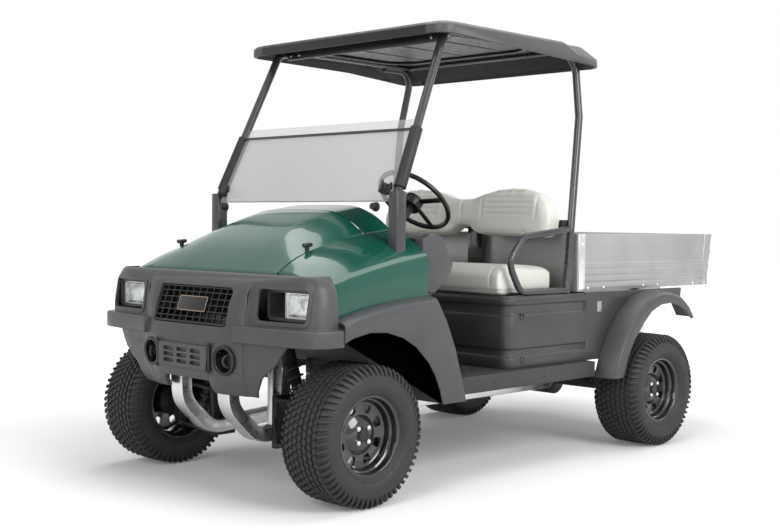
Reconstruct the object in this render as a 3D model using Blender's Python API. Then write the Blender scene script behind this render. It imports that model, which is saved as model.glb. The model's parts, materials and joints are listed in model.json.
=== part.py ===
# Utility vehicle with an open two-seat cab, a moulded canopy and a tipping load bed.
# Metres, +Z up. The nose points along -Y and the vehicle's left side is +X.
# The origin is on the ground, under the middle of the overall length.
# A place is an offset to the left, a distance behind the front axle and a height above the axles.
import math

import bmesh
import bpy
from mathutils import Matrix, Vector

# Clearances
SEAT_GAP = 0.0003  # between faces that rest on each other
RUN_GAP = 0.008  # between pieces that move past each other
PIN_GAP = 0.0006  # round a pin that turns
OVERRUN = 0.02  # how far a cutter reaches past the faces it cuts

# Wheels
WHEELBASE = 2.067
NOSE_OVERHANG = 0.380
TAIL_OVERHANG = 0.704
FRONT_TRACK = 1.250
REAR_TRACK = 1.290
TYRE_RADIUS = 0.2855
TYRE_WIDTH = 0.254
TYRE_STEPS = 32
BEAD_RADIUS = 0.160
RIM_FLANGE_RADIUS = 0.172
RIM_GAUGE = 0.008
RIM_DISC_OFFSET = 0.030
RIM_HUB_RADIUS = 0.052
RIM_WINDOW = 0.038
RIM_WINDOWS = 8
RIM_STEPS = 20
SPINDLE_RADIUS = 0.025

# Axles and suspension
KINGPIN_OFFSET = 0.105
UPRIGHT_HEIGHT = 0.170
UPRIGHT_WIDTH = 0.040
STEER_ARM = 0.100
WISHBONE_RADIUS = 0.010
WISHBONE_SPREAD = 0.110
DAMPER_RADIUS = 0.025
DAMPER_TOP = 0.3095
AXLE_RADIUS = 0.035
DIFFERENTIAL_RADIUS = 0.091
LEAF_GAUGE = 0.019
LEAF_SPAN = 0.542

# Frame
RAIL_SPAN = 0.720  # between the middles of the side rails
RAIL_WIDTH = 0.045
RAIL_DEPTH = 0.085
RAIL_FRONT = 0.640
RAIL_KICK_AHEAD = 0.467  # where the rails start to rise, ahead of the rear axle
RAIL_KICK_LENGTH = 0.160
RAIL_KICK_RISE = 0.150
RAIL_TAIL = 0.408
MEMBER_DEPTH = 0.060
NOSE_RAIL_SPAN = 0.320
NOSE_RAIL_WIDTH = 0.076
NOSE_RAIL_DEPTH = 0.056
NOSE_RAIL_FRONT = -0.275
NOSE_RAIL_TOE = -0.120
NOSE_RAIL_DIP = 0.400
NOSE_RAIL_LOW = -0.0575
NOSE_RAIL_KNEE = 0.0745
NOSE_RAIL_BEND = 0.110
TOWER_TOP = 0.3545
FLOOR_HEIGHT = 0.1745
FLOOR_GAUGE = 0.015
FLOOR_FRONT = 0.660
TOE_LENGTH = 0.155
TOE_RISE = 0.125
FIREWALL_LEAN = 0.047
FIREWALL_HEIGHT = 0.5145
SILL_DEPTH = 0.075
SILL_WIDTH = 0.077
SILL_FRONT = 0.612
ENGINE_WIDTH = 0.360
ENGINE_LENGTH = 0.500
ENGINE_AHEAD = 0.267  # from the rear axle forward to the engine's front
ENGINE_DROP = 0.087  # from the bed's floor down to the engine's top
ENGINE_BOTTOM = 0.1145

# Hood, cowl and shoulders
HOOD_FRONT = -0.2375
HOOD_LENGTH = 0.4735
HOOD_FRONT_HEIGHT = 0.6325
HOOD_REAR_HEIGHT = 0.8945
HOOD_SEAM_HEIGHT = 0.7905
HOOD_HALF_WIDTH = 0.430
HOOD_GAP = 0.006
COWL_LENGTH = 0.143
COWL_RISE = 0.024
COWL_SEAM_RISE = 0.019
SHOULDER_FRONT = -0.150
SHOULDER_HALF_WIDTH = 0.672
SHOULDER_FRONT_HEIGHT = 0.5945
SHOULDER_REAR_HEIGHT = 0.6995
BODY_GAUGE = 0.008

# Nose
NOSE_TOP = 0.6295
NOSE_TOP_FRONT = -0.250
NOSE_HALF_WIDTH = 0.722
PANEL_BOTTOM = 0.1415
PANEL_HALF_WIDTH = 0.336
PANEL_NOTCH_HALF = 0.150
PANEL_NOTCH_RISE = 0.052
PANEL_GAUGE = 0.012
PANEL_PROUD = 0.012
PANEL_EDGE = 0.006
LEDGE_HEIGHT = 0.4265
LEDGE_DEPTH = 0.068
LEDGE_PROUD = 0.030
WING_TOP = 0.563
LAMP_LOW = 0.4505
LAMP_HIGH = 0.5745
LAMP_IN = 0.388
LAMP_OUT = 0.650
LAMP_FRONT = -0.246
LAMP_DEPTH = 0.085
LAMP_CORNER = 0.020
LENS_SETBACK = 0.020
LENS_SHARE = 0.42
GRILLE_HALF_WIDTH = 0.247
GRILLE_LOW = 0.4145
GRILLE_HIGH = 0.5715
GRILLE_GAUGE = 0.012
GRILLE_BAR = 0.0065
GRILLE_CORNER = 0.022
GRILLE_COLUMNS = 11
GRILLE_ROWS = 5
PLATE_HALF_WIDTH = 0.163
PLATE_LOW = 0.2365
PLATE_HIGH = 0.3345
PLATE_CORNER = 0.008
PLATE_GAUGE = 0.012
PLATE_SLOT_ROWS = 3
TOW_EYE_RADIUS = 0.060
TOW_EYE_OFFSET = 0.247
TOW_EYE_HEIGHT = 0.2825

# Wheel arches
FLARE_OUT = 0.112  # from the middle of the front tyre out to the flare's lip
FLARE_GAUGE = 0.008
FLARE_FOOT = 0.0865
FLARE_FRONT_HEIGHT = 0.4615
FLARE_TOP = 0.5385
FLARE_REAR = 0.580
FLARE_EDGE = 0.018
FLARE_SHELF = 0.022
FLARE_SEAT = 0.068  # how far the flare reaches in under the shoulder
ARCH_RADIUS = 0.410
ARCH_AFT = 0.012
LINER_IN = 0.360
REAR_FLARE_AHEAD = 0.412
REAR_FLARE_LENGTH = 0.764
REAR_FLARE_TOP = 0.5105

# Seat base and seats
POD_AHEAD = 1.082  # from the rear axle forward to the seat base's front
POD_LENGTH = 0.655
POD_HALF_WIDTH = 0.620
POD_RISE = 0.333
POD_WALL = 0.020
POD_CORNER = 0.060
POD_SHELF = 0.200
POD_RELIEF = 0.008
POD_WING_LAP = 0.020
SEAT_NOSE = 0.020
SEAT_LENGTH = 0.435
SEAT_HALF_WIDTH = 0.572
SEAT_THICKNESS = 0.140
BACK_LIFT = 0.252  # from the seat base's top up to the back's lower edge
BACK_HEIGHT = 0.263
BACK_THICKNESS = 0.110
BACK_TILT = math.radians(8)
BACK_BAR_GAUGE = 0.010
BACK_BAR_HEIGHT = 0.048
BACK_BAR_SHARE = 0.30

# Canopy and its struts
CANOPY_FRONT = 0.484
CANOPY_TAIL = 0.427  # from the canopy's rear edge back to the rear axle
CANOPY_HALF_WIDTH = 0.655
CANOPY_HEIGHT = 1.6995
CANOPY_CROWN = 0.018
CANOPY_SKIRT = 0.052
CANOPY_SKIRT_FALL = 0.045
CANOPY_LIP_DROP = 0.042
CANOPY_WALL = 0.010
CANOPY_CORNER = 0.070
CANOPY_ROUND = 0.014
STRUT_RADIUS = 0.019
STRUT_SPREAD = 0.596
STRUT_TOP_SPREAD = 0.548
STRUT_AFT = 0.270
STRUT_LEAN = 0.319
STRUT_BEND = 0.050
STRUT_TAIL = 0.110
POST_WIDTH = 0.050
POST_DEPTH = 0.055
POST_BASE = 0.6145
KNEE_HEIGHT = 0.951
REAR_STRUT_AHEAD = 0.626
REAR_STRUT_LEAN = 0.110
REAR_STRUT_SPREAD = 0.600
REAR_STRUT_BEND = 0.085
REAR_STRUT_TAIL = 0.215
LOOP_RADIUS = 0.016
LOOP_RISE = 0.311
LOOP_BEND = 0.070
BOW_RADIUS = 0.011

# Windshield
PANE_GAUGE = 0.005
PANE_LOW = 0.9265
PANE_HEIGHT = 0.313
PANE_FOLD = 0.040
SLEEVE_RADIUS = 0.027

# Dash, steering and pedals
DASH_TOP = 0.7925
DASH_DEPTH = 0.189
DASH_DROP = 0.268
CHEEK_WIDTH = 0.053
HUB_OFFSET = 0.315
HUB_AFT = 0.668
HUB_HEIGHT = 0.9425
WHEEL_RADIUS = 0.175
WHEEL_GRIP = 0.0125
BOSS_RADIUS = 0.046
COLUMN_TILT = math.radians(46)
COLUMN_RADIUS = 0.024
COLUMN_LENGTH = 0.420
PEDAL_LENGTH = 0.200
PEDAL_GAUGE = 0.008
PEDAL_BAR_SHARE = 0.65
BRAKE_OFFSET = 0.220
BRAKE_WIDTH = 0.070
THROTTLE_OFFSET = 0.410
THROTTLE_WIDTH = 0.050

# Load bed
BED_AHEAD = 0.565
BED_HALF_WIDTH = 0.618
BED_CLEARANCE = 0.009
BED_DEPTH = 0.280
BED_WALL = 0.012
BED_PLATE = 0.018
BED_RIM = 0.030
BED_LEAN = 0.040
BED_RIB = 0.003
BED_POST = 0.045
BED_PAD_LENGTH = 0.040
TAILGATE_GAUGE = 0.028
BED_HINGE_TAIL = 0.383
BED_HINGE_DROP = 0.050
CHANNEL_OFFSET = 0.330
CHANNEL_WIDTH = 0.040
CHANNEL_DEPTH = 0.037
PIN_RADIUS = 0.012

# Worked-out places
FRONT_AXLE = (NOSE_OVERHANG - TAIL_OVERHANG - WHEELBASE) / 2
RAIL_LEVEL = FLOOR_HEIGHT - SILL_DEPTH - SEAT_GAP - RAIL_DEPTH / 2
KICKED_LEVEL = RAIL_LEVEL + RAIL_KICK_RISE
RAIL_KICK = WHEELBASE - RAIL_KICK_AHEAD
RAIL_REAR = WHEELBASE + RAIL_TAIL
ENGINE_FRONT = WHEELBASE - ENGINE_AHEAD
POD_FRONT = WHEELBASE - POD_AHEAD
POD_REAR = POD_FRONT + POD_LENGTH
POD_HEIGHT = FLOOR_HEIGHT + POD_RISE
SEAT_FRONT = POD_FRONT - SEAT_NOSE
BACK_LOW = POD_HEIGHT + BACK_LIFT
HOOD_REAR = HOOD_FRONT + HOOD_LENGTH
COWL_REAR = HOOD_REAR + HOOD_GAP + COWL_LENGTH
LEDGE_OUT = FRONT_TRACK / 2 + FLARE_OUT
CANOPY_REAR = WHEELBASE - CANOPY_TAIL
CANOPY_LOW = CANOPY_HEIGHT - CANOPY_SKIRT
STRUT_LEVEL = CANOPY_HEIGHT - CANOPY_WALL - SEAT_GAP - STRUT_RADIUS
REAR_STRUT_AFT = WHEELBASE - REAR_STRUT_AHEAD
PANE_HINGE = PANE_LOW + PANE_HEIGHT
BED_FRONT = WHEELBASE - BED_AHEAD
BED_REAR = WHEELBASE + TAIL_OVERHANG
BED_FLOOR = POD_HEIGHT + BED_CLEARANCE
BED_TOP = BED_FLOOR + BED_DEPTH
BED_HINGE_AFT = WHEELBASE + BED_HINGE_TAIL
BED_HINGE_UP = BED_FLOOR - BED_HINGE_DROP
BED_END = BED_REAR - TAILGATE_GAUGE - PIN_GAP

# Outlines, as shares of the sizes that they follow
TYRE_OUTER_SHARES = ((0.80, 0.10), (0.985, 0.34), (1.0, 0.62), (0.90, 0.88), (0.66, 0.975))
TYRE_INNER_SHARES = ((0.66, 0.12), (0.80, 0.80))
HOOD_CROWN_SHARES = ((0, 0), (0.10, 0.19), (0.24, 0.415), (0.45, 0.64), (0.67, 0.81), (0.84, 0.917), (1, 1))
HOOD_SEAM_SHARES = ((0, 0), (0.10, 0.23), (0.24, 0.46), (0.45, 0.64), (0.67, 0.80), (0.84, 0.91), (1, 1))
CROSS_CROWN_SHARES = ((0, 0), (0.42, 0.02), (0.56, 0.10), (0.62, 0.18), (0.78, 0.40), (0.92, 0.74), (1, 1))
ARCH_TOP_SHARES = ((0, 0), (0.17, 0.30), (0.355, 0.57), (0.542, 0.766), (0.733, 0.896), (1, 1))
SHOULDER_SHARES = ((0, 1), (0.35, 0.83), (0.68, 0.50), (0.90, 0.17), (0.98, 0))
NOSE_PLAN_SHARES = (
    (0, 0), (0.17, 0), (0.34, 0.02), (0.42, 0.10), (0.50, 0.17), (0.66, 0.21), (0.82, 0.27), (0.92, 0.33),
    (0.975, 0.43), (1.0, 0.60), (1.0, 1.0),
)
NOSE_FRONT_SHARES = (
    (0, 0.678), (0.057, 0.83), (0.201, 0.983), (0.355, 1.0), (0.457, 0.958), (0.566, 0.907), (0.596, 0.881),
    (0.734, 0.746), (0.891, 0.449), (0.939, 0.288), (0.980, 0.136), (1, 0),
)
NOSE_WIDTH_SHARES = (
    (0, 0.90), (0.057, 0.93), (0.201, 0.96), (0.457, 0.975), (0.734, 0.965), (0.891, 0.950), (0.939, 0.93), (0.980, 0.91), (1, 0.90),
)
NOSE_FLAT_SHARES = ((0, 0), (0.596, 0), (0.734, 0.05), (0.891, 0.15), (0.939, 0.22), (0.980, 0.27), (1, 0.30))
PANEL_PLAN_SHARES = (0, 0.35, 0.64, 0.86)
PANEL_PROUD_SHARES = ((0, 1), (0.85, 1), (0.94, 0.3), (0.98, 0), (1, 0))
WING_CUT_SHARES = ((0.29, 0), (0.31, 0.06), (0.475, 0.378), (0.789, 0.654), (1.0, 1.0))
FLOOR_MEMBER_SHARES = (0, 0.573, 0.893)
FLANK_LIP_ANGLES = (118, 107, 94, 81, 67, 55)
REAR_EDGE_SHARES = ((0.30, 0.80, 41), (0.60, 0.54, 31), (0.83, 0.25, 21), (1.0, 0, 12.2))
REAR_OUTER_SHARES = (
    (0, 0), (0.048, 0.24), (0.135, 0.51), (0.262, 0.76), (0.40, 0.92), (0.56, 0.995), (0.70, 0.985), (0.835, 0.92),
    (0.93, 0.80), (1.0, 0.645),
)
REAR_LIP_SHARES = (
    (0.118, 0), (0.165, 0.22), (0.235, 0.42), (0.335, 0.60), (0.440, 0.75), (0.56, 0.825), (0.68, 0.835), (0.79, 0.79),
    (0.87, 0.72), (0.940, 0.62),
)
POD_BAND_SHARES = (
    (0, 0), (0.15, 0), (0.17, 1), (0.26, 1), (0.28, 0), (0.72, 0), (0.74, 1), (0.87, 1), (0.89, 0), (0.96, 0),
    (0.98, 1), (1, 1),
)
SEAT_SIDE_SHARES = (
    (0.06, 0), (0, 0.20), (0, 0.70), (0.05, 0.93), (0.16, 1), (0.45, 0.97), (0.80, 0.90), (0.97, 0.86), (1, 0.75), (1, 0.12),
    (0.97, 0),
)
BACK_SHARES = (
    (0, 0.79), (0.12, 0.81), (0.26, 0.91), (0.42, 0.985), (0.56, 1.0), (0.72, 0.97), (0.86, 0.85), (0.95, 0.66),
    (1.0, 0.40), (0.99, 0.12), (0.93, 0.02), (0.80, 0), (0.20, 0), (0.13, 0.08), (0.08, 0.16), (0, 0.18),
)
LOOP_SHARES = ((1, 1), (0.25, 0.87), (0.02, 0.49), (0.21, 0), (1, 0))
CANOPY_SIDE_SHARES = (0.30, 0.60, 0.76, 0.80, 0.86, 0.92)
CANOPY_LIP_SHARES = ((0, 0), (0.73, 0), (0.775, 0.3), (0.82, 0.88), (0.86, 1), (1, 1.1))
CANOPY_SKIRT_SHARES = ((0, 0), (0.55, 0.15), (0.85, 0.7), (1, 1))
DASH_SHARES = ((0.08, 0.08), (0.62, 0), (0.95, 0.25), (0.86, 0.68), (0.46, 1))
CHEEK_SHARES = (
    (0, 0.35), (0, 0.07), (0.13, 0.03), (0.45, 0), (0.66, 0.07), (1.0, 0.46), (0.93, 0.61), (0.40, 0.93), (0.21, 0.91),
)
BED_RIB_SHARES = ((0.04, 0.12), (0.16, 0.24), (0.28, 0.36), (0.40, 0.48))
TAILGATE_RIB_SHARES = (
    (0, 0), (1, 0), (1, 0.08), (0.82, 0.10), (0.82, 0.30), (1, 0.32), (1, 0.38), (0.82, 0.40), (0.82, 0.60),
    (1, 0.62), (1, 0.68), (0.82, 0.70), (0.82, 0.90), (1, 0.92), (1, 1), (0, 1),
)


def place(x, aft, up):
    """A point by its offset to the left, its distance behind the front axle and its height above it."""
    return Vector((x, FRONT_AXLE + aft, TYRE_RADIUS + up))


def finish(name, colour, roughness, metallic=0.0):
    made = bpy.data.materials.new(name)
    made.use_nodes = True
    shader = made.node_tree.nodes["Principled BSDF"]
    shader.inputs["Base Color"].default_value = (*colour, 1)
    shader.inputs["Roughness"].default_value = roughness
    shader.inputs["Metallic"].default_value = metallic
    return made


# Mesh tools
def mesh_object(name, bm, material):
    bmesh.ops.recalc_face_normals(bm, faces=bm.faces)
    mesh = bpy.data.meshes.new(name)
    bm.to_mesh(mesh)
    bm.free()
    made = bpy.data.objects.new(name, mesh)
    bpy.context.scene.collection.objects.link(made)
    mesh.materials.append(material)
    return made


def loft(rings, closed=False):
    """Skin rings of equal length. The ends are capped, or joined where the run is closed."""
    bm = bmesh.new()
    loops = [[bm.verts.new(point) for point in ring] for ring in rings]
    pairs = list(zip(loops, loops[1:]))
    if closed:
        pairs.append((loops[-1], loops[0]))
    for near, far in pairs:
        for index in range(len(near)):
            following = (index + 1) % len(near)
            bm.faces.new((near[index], near[following], far[following], far[index]))
    if not closed:
        bm.faces.new(list(reversed(loops[0])))
        bm.faces.new(loops[-1])
    return bm


def prism(outline, axis, low, high):
    """Extrude a flat outline along x, aft or up, between two levels of that axis."""
    spots = {
        "x": lambda a, b, level: place(level, a, b),
        "aft": lambda a, b, level: place(a, level, b),
        "up": lambda a, b, level: place(a, b, level),
    }
    return loft([[spots[axis](a, b, level) for a, b in outline] for level in (low, high)])


def box(low, high):
    """A box between two corners, each given as (x, aft, up)."""
    outline = ((low[0], low[1]), (high[0], low[1]), (high[0], high[1]), (low[0], high[1]))
    return prism(outline, "up", low[2], high[2])


def block(x, aft, up, size):
    """A box by its middle and its size."""
    width, length, height = size
    return box((x - width / 2, aft - length / 2, up - height / 2), (x + width / 2, aft + length / 2, up + height / 2))


def arc(centre, radius, start, end, steps):
    """Points of a flat arc, angles in degrees."""
    angles = [math.radians(start + (end - start) * step / steps) for step in range(steps + 1)]
    return [(centre[0] + radius * math.cos(a), centre[1] + radius * math.sin(a)) for a in angles]


def rounded(low, high, radius, steps=3):
    """A rectangle with round corners."""
    corners = (
        ((high[0] - radius, high[1] - radius), 0),
        ((low[0] + radius, high[1] - radius), 90),
        ((low[0] + radius, low[1] + radius), 180),
        ((high[0] - radius, low[1] + radius), 270),
    )
    outline = []
    for centre, start in corners:
        outline += arc(centre, radius, start, start + 90, steps)
    return outline


def circle(radius, sides):
    turns = [math.tau * side / sides for side in range(sides)]
    return [(radius * math.cos(turn), radius * math.sin(turn)) for turn in turns]


def rectangle(width, depth):
    return [(-width / 2, -depth / 2), (width / 2, -depth / 2), (width / 2, depth / 2), (-width / 2, depth / 2)]


def mirrored(outline, side):
    """An outline across the vehicle, on its left side or its right."""
    return [(side * x, other) for x, other in outline]


def between(low, high, share):
    return low + (high - low) * share


def spread(shares, start, end):
    """An outline given as shares of the way from one corner to another."""
    return [(between(start[0], end[0], along), between(start[1], end[1], up)) for along, up in shares]


def follow(shares, share):
    """Read a line of (place, level) shares at a place."""
    for (near, low), (far, high) in zip(shares, shares[1:]):
        if share <= far:
            return low + (high - low) * max(share - near, 0) / (far - near)
    return shares[-1][1]


def bend(points, radius, steps=3):
    """A route through the points, with each inner corner rounded to the radius."""
    route = [Vector(points[0])]
    for before, corner, after in zip(points, points[1:], points[2:]):
        back = (Vector(before) - Vector(corner)).normalized()
        ahead = (Vector(after) - Vector(corner)).normalized()
        half = back.angle(ahead) / 2
        centre = Vector(corner) + (back + ahead).normalized() * radius / math.sin(half)
        start = Vector(corner) + back * radius / math.tan(half) - centre
        turn = start.cross(-back)
        for step in range(steps + 1):
            angle = (math.pi - 2 * half) * step / steps
            route.append(centre + Matrix.Rotation(angle, 3, turn) @ start)
    route.append(Vector(points[-1]))
    return route


def sweep(route, profile, across=None):
    """Run a flat profile along a route. The second direction of the profile lies along across."""
    points = [Vector(point) for point in route]
    if across is None:
        run = (points[-1] - points[0]).normalized()
        across = Vector((0, 0, 1)) if abs(run.z) < 0.9 else Vector((1, 0, 0))
    across = Vector(across)
    rings = []
    for index, point in enumerate(points):
        ahead = (points[min(index + 1, len(points) - 1)] - point).normalized()
        behind = (point - points[max(index - 1, 0)]).normalized()
        tangent = (ahead + behind).normalized()
        side = tangent.cross(across).normalized()
        lift = side.cross(tangent).normalized()
        mitre = 1 / max(tangent.dot(ahead if ahead.length else behind), 0.5)
        rings.append([point + side * a * mitre + lift * b for a, b in profile])
    return loft(rings)


def tube(route, radius, sides=10, across=None):
    return sweep(route, circle(radius, sides), across)


def revolve(profile, origin, direction, steps):
    """Turn a closed profile of (along, radius) points about an axis."""
    turn = Vector(direction).to_track_quat("Z", "Y").to_matrix()
    rings = []
    for step in range(steps):
        angle = math.tau * step / steps
        spoke = Vector((math.cos(angle), math.sin(angle), 0))
        ring = [Vector(origin) + turn @ (spoke * radius + Vector((0, 0, along))) for along, radius in profile]
        rings.append(ring)
    return loft(rings, closed=True)


def turned(profile, origin, direction, steps):
    """Turn an open profile whose two ends are on the axis."""
    bm = revolve(profile, origin, direction, steps)
    bmesh.ops.remove_doubles(bm, verts=bm.verts, dist=SEAT_GAP / 10)
    spare = [face for face in bm.faces if face.calc_area() == 0 or len(face.verts) < 3]
    bmesh.ops.delete(bm, geom=spare, context="FACES")
    return bm


def reread(made):
    """Take a finished object's mesh back as a part for another join."""
    bm = bmesh.new()
    bm.from_mesh(made.data)
    bpy.data.objects.remove(made)
    return bm


def combine(name, material, parts, cuts=()):
    """Join the parts into one body and take the cuts out of it."""
    target = mesh_object(name, parts[0], material)
    helpers = []
    for bm, operation in [(part, "UNION") for part in parts[1:]] + [(cut, "DIFFERENCE") for cut in cuts]:
        helper = mesh_object("helper", bm, material)
        modifier = target.modifiers.new(operation, "BOOLEAN")
        modifier.operation = operation
        modifier.solver = "EXACT"
        modifier.object = helper
        helpers.append(helper)
    if helpers:
        graph = bpy.context.evaluated_depsgraph_get()
        mesh = bpy.data.meshes.new_from_object(target.evaluated_get(graph))
        target.modifiers.clear()
        target.data = mesh
    for helper in helpers:
        bpy.data.objects.remove(helper)
    return target


def gather(pieces):
    """One mesh from several that don't touch, for use as a single cutter."""
    whole = bmesh.new()
    for piece in pieces:
        mesh = bpy.data.meshes.new("gathered")
        piece.to_mesh(mesh)
        piece.free()
        whole.from_mesh(mesh)
        bpy.data.meshes.remove(mesh)
    return whole


def pivot(piece, point):
    """Put the origin of a moving piece on its joint's axis."""
    piece.data.transform(Matrix.Translation(-Vector(point)))
    piece.location = point


# Wheels
def tyre(name, side, track, aft, material):
    half = TYRE_WIDTH / 2
    wall = TYRE_RADIUS - BEAD_RADIUS
    outer = [(half * across, BEAD_RADIUS + wall * up) for across, up in TYRE_OUTER_SHARES]
    inner = [(half * across, BEAD_RADIUS + wall * up) for across, up in TYRE_INNER_SHARES]
    profile = outer + [(0, TYRE_RADIUS)] + [(-along, radius) for along, radius in reversed(outer)]
    profile += [(-along, radius) for along, radius in inner] + list(reversed(inner))
    centre = place(side * track / 2, aft, 0)
    made = mesh_object(name, revolve(profile, centre, (1, 0, 0), TYRE_STEPS), material)
    pivot(made, centre)
    return made


def rim_profile():
    """Half section of the pressed wheel, from the middle of its face round to the middle of its back."""
    seat = BEAD_RADIUS - SEAT_GAP
    inside = seat - RIM_GAUGE * 3
    disc = RIM_DISC_OFFSET
    bore = SPINDLE_RADIUS + PIN_GAP * 2
    bead = TYRE_WIDTH / 2 * TYRE_OUTER_SHARES[0][0] + SEAT_GAP
    flange = bead + RIM_GAUGE
    face = [
        (disc + RIM_GAUGE * 4, 0), (disc + RIM_GAUGE * 4, bore), (disc + RIM_GAUGE * 3, RIM_HUB_RADIUS),
        (disc + RIM_GAUGE, RIM_HUB_RADIUS * 1.6), (disc + RIM_GAUGE, inside), (bead / 2, inside),
        (flange, seat - RIM_GAUGE), (flange, RIM_FLANGE_RADIUS), (bead, RIM_FLANGE_RADIUS), (bead, seat),
    ]
    well = [(bead / 2, seat - RIM_GAUGE * 2), (-bead / 2, seat - RIM_GAUGE * 2)]
    back = [
        (-bead, seat), (-bead, RIM_FLANGE_RADIUS), (-flange, RIM_FLANGE_RADIUS), (-flange, seat - RIM_GAUGE),
        (-bead / 2, inside), (disc, inside), (disc - RIM_GAUGE, RIM_HUB_RADIUS), (disc - RIM_GAUGE, bore),
        (disc + RIM_GAUGE * 2, bore), (disc + RIM_GAUGE * 2, 0),
    ]
    return face + well + back


def rim(name, side, track, aft, material):
    """A pressed steel wheel: barrel, dished disc with windows, and a hub with a blind bore for the spindle."""
    centre = place(side * track / 2, aft, 0)
    outward = Vector((side, 0, 0))
    ring_radius = (BEAD_RADIUS - RIM_GAUGE * 3 + RIM_HUB_RADIUS * 1.6) / 2
    half = RIM_WINDOW / 2
    outline = rounded((-half, -half * 0.8), (half, half * 0.8), half * 0.5, 1)
    windows = []
    for turn in range(RIM_WINDOWS):
        angle = math.tau * (turn + 0.5) / RIM_WINDOWS
        spoke = Vector((0, math.cos(angle), math.sin(angle)))
        spot = centre + spoke * ring_radius + outward * RIM_DISC_OFFSET
        route = [spot - outward * OVERRUN, spot + outward * (OVERRUN + RIM_GAUGE * 2)]
        windows.append(sweep(route, outline, spoke))
    made = combine(name, material, [turned(rim_profile(), centre, outward, RIM_STEPS)], [gather(windows)])
    pivot(made, centre)
    return made


# Axles and suspension
def hub_flange(side, track, inner):
    """The hub behind the wheel's disc, from an inner offset out to a running gap."""
    outer = track / 2 + RIM_DISC_OFFSET - RIM_GAUGE - RUN_GAP
    return inner, side * outer


def kingpin(side):
    return side * (FRONT_TRACK / 2 - KINGPIN_OFFSET)


def across_tube(start, end, aft, radius, sides=16):
    """A tube straight across the vehicle at the height of the axles."""
    return tube([place(start, aft, 0), place(end, aft, 0)], radius, sides)


def knuckle(name, side, material):
    """Steering knuckle: an upright between two ball joints, with the wheel's spindle and a steering arm."""
    x = kingpin(side)
    width = UPRIGHT_WIDTH
    upright = block(x + side * width * 0.2, 0, 0, (width, width, UPRIGHT_HEIGHT))
    spindle = across_tube(x, side * (FRONT_TRACK / 2 + RIM_DISC_OFFSET + RIM_GAUGE), 0, SPINDLE_RADIUS)
    inner, outer = hub_flange(side, FRONT_TRACK, side * (FRONT_TRACK / 2 - RIM_GAUGE * 4))
    flange = across_tube(inner, outer, 0, RIM_HUB_RADIUS * 1.3)
    arm = block(x, STEER_ARM / 2, -UPRIGHT_HEIGHT / 4, (width / 2, STEER_ARM, width * 0.4))
    made = combine(name, material, [upright, spindle, flange, arm])
    pivot(made, place(x, 0, 0))
    return made


def front_suspension(name, side, material):
    """Two wishbones and a coil-over damper, all on one bracket that stands on the nose rail."""
    gauge = WISHBONE_RADIUS * 3
    x = kingpin(side)
    bracket_x = side * (NOSE_RAIL_SPAN / 2 + NOSE_RAIL_WIDTH / 2 + SEAT_GAP + gauge / 2)
    level = UPRIGHT_HEIGHT / 2 + SEAT_GAP + WISHBONE_RADIUS
    height = level * 2 + gauge
    parts = [block(bracket_x, 0, 0, (gauge, WISHBONE_SPREAD * 1.1, height))]
    for up in (-level, level):
        for way in (-1, 1):
            route = [place(bracket_x, way * WISHBONE_SPREAD / 2, up), place(x, 0, up)]
            parts.append(tube(route, WISHBONE_RADIUS * 0.98))
        parts.append(tube([place(x, 0, up - WISHBONE_RADIUS), place(x, 0, up + WISHBONE_RADIUS)],
                          WISHBONE_RADIUS * 2, 16))
    foot = place(between(bracket_x, x, 0.55), 0, -level)
    head = place(side * NOSE_RAIL_SPAN * 0.72, 0, DAMPER_TOP)
    parts.append(tube([foot, head], DAMPER_RADIUS, 14))
    parts.append(sweep([place(bracket_x, 0, level), head], rectangle(DAMPER_RADIUS, gauge), (0, 1, 0)))
    return combine(name, material, parts)


def leaf_spring(side):
    """One leaf spring under its rail, with its clamp on the axle and a shackle at each end."""
    x = side * RAIL_SPAN / 2
    top = KICKED_LEVEL - RAIL_DEPTH / 2 - SEAT_GAP
    hump = AXLE_RADIUS + LEAF_GAUGE * 0.4
    half = LEAF_SPAN / 2
    eye = top - RAIL_DEPTH * 0.4
    near = hump + LEAF_GAUGE * 0.4
    leaf = [(-half, eye), (-half * 0.57, near), (0, hump), (half * 0.57, near), (half, eye)]
    route = [place(x, WHEELBASE + aft, up) for aft, up in leaf]
    parts = [sweep(route, rectangle(LEAF_GAUGE, RAIL_WIDTH * 0.9), (1, 0, 0))]
    parts.append(block(x, WHEELBASE, hump / 2, (RAIL_WIDTH, AXLE_RADIUS * 2.4, hump + AXLE_RADIUS)))
    for end in (-half, half):
        aft = WHEELBASE + end
        parts.append(box((x - RAIL_WIDTH * 0.4, aft - LEAF_GAUGE * 0.7, eye - LEAF_GAUGE * 0.4),
                         (x + RAIL_WIDTH * 0.4, aft + LEAF_GAUGE * 0.7, top)))
    return parts


def rear_axle(material):
    """Live axle with its differential housing, two leaf springs and their clamps."""
    reach = REAR_TRACK / 2 + RIM_DISC_OFFSET + RIM_GAUGE
    inner = REAR_TRACK / 2 - TYRE_WIDTH / 2
    parts = [
        across_tube(-reach, reach, WHEELBASE, SPINDLE_RADIUS),
        across_tube(-inner, inner, WHEELBASE, AXLE_RADIUS, 12),
        across_tube(-DIFFERENTIAL_RADIUS * 0.85, DIFFERENTIAL_RADIUS * 0.85, WHEELBASE, DIFFERENTIAL_RADIUS),
    ]
    for side in (-1, 1):
        near, far = hub_flange(side, REAR_TRACK, side * (inner - AXLE_RADIUS))
        parts.append(across_tube(near, far, WHEELBASE, RIM_HUB_RADIUS * 1.3))
        parts += leaf_spring(side)
    return combine("rear_axle", material, parts)


# Frame
def side_rail(side):
    x = side * RAIL_SPAN / 2
    route = [place(x, RAIL_FRONT, RAIL_LEVEL), place(x, RAIL_KICK, RAIL_LEVEL),
             place(x, RAIL_KICK + RAIL_KICK_LENGTH, KICKED_LEVEL), place(x, RAIL_REAR, KICKED_LEVEL)]
    return sweep(route, rectangle(RAIL_DEPTH, RAIL_WIDTH), (1, 0, 0))


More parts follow.
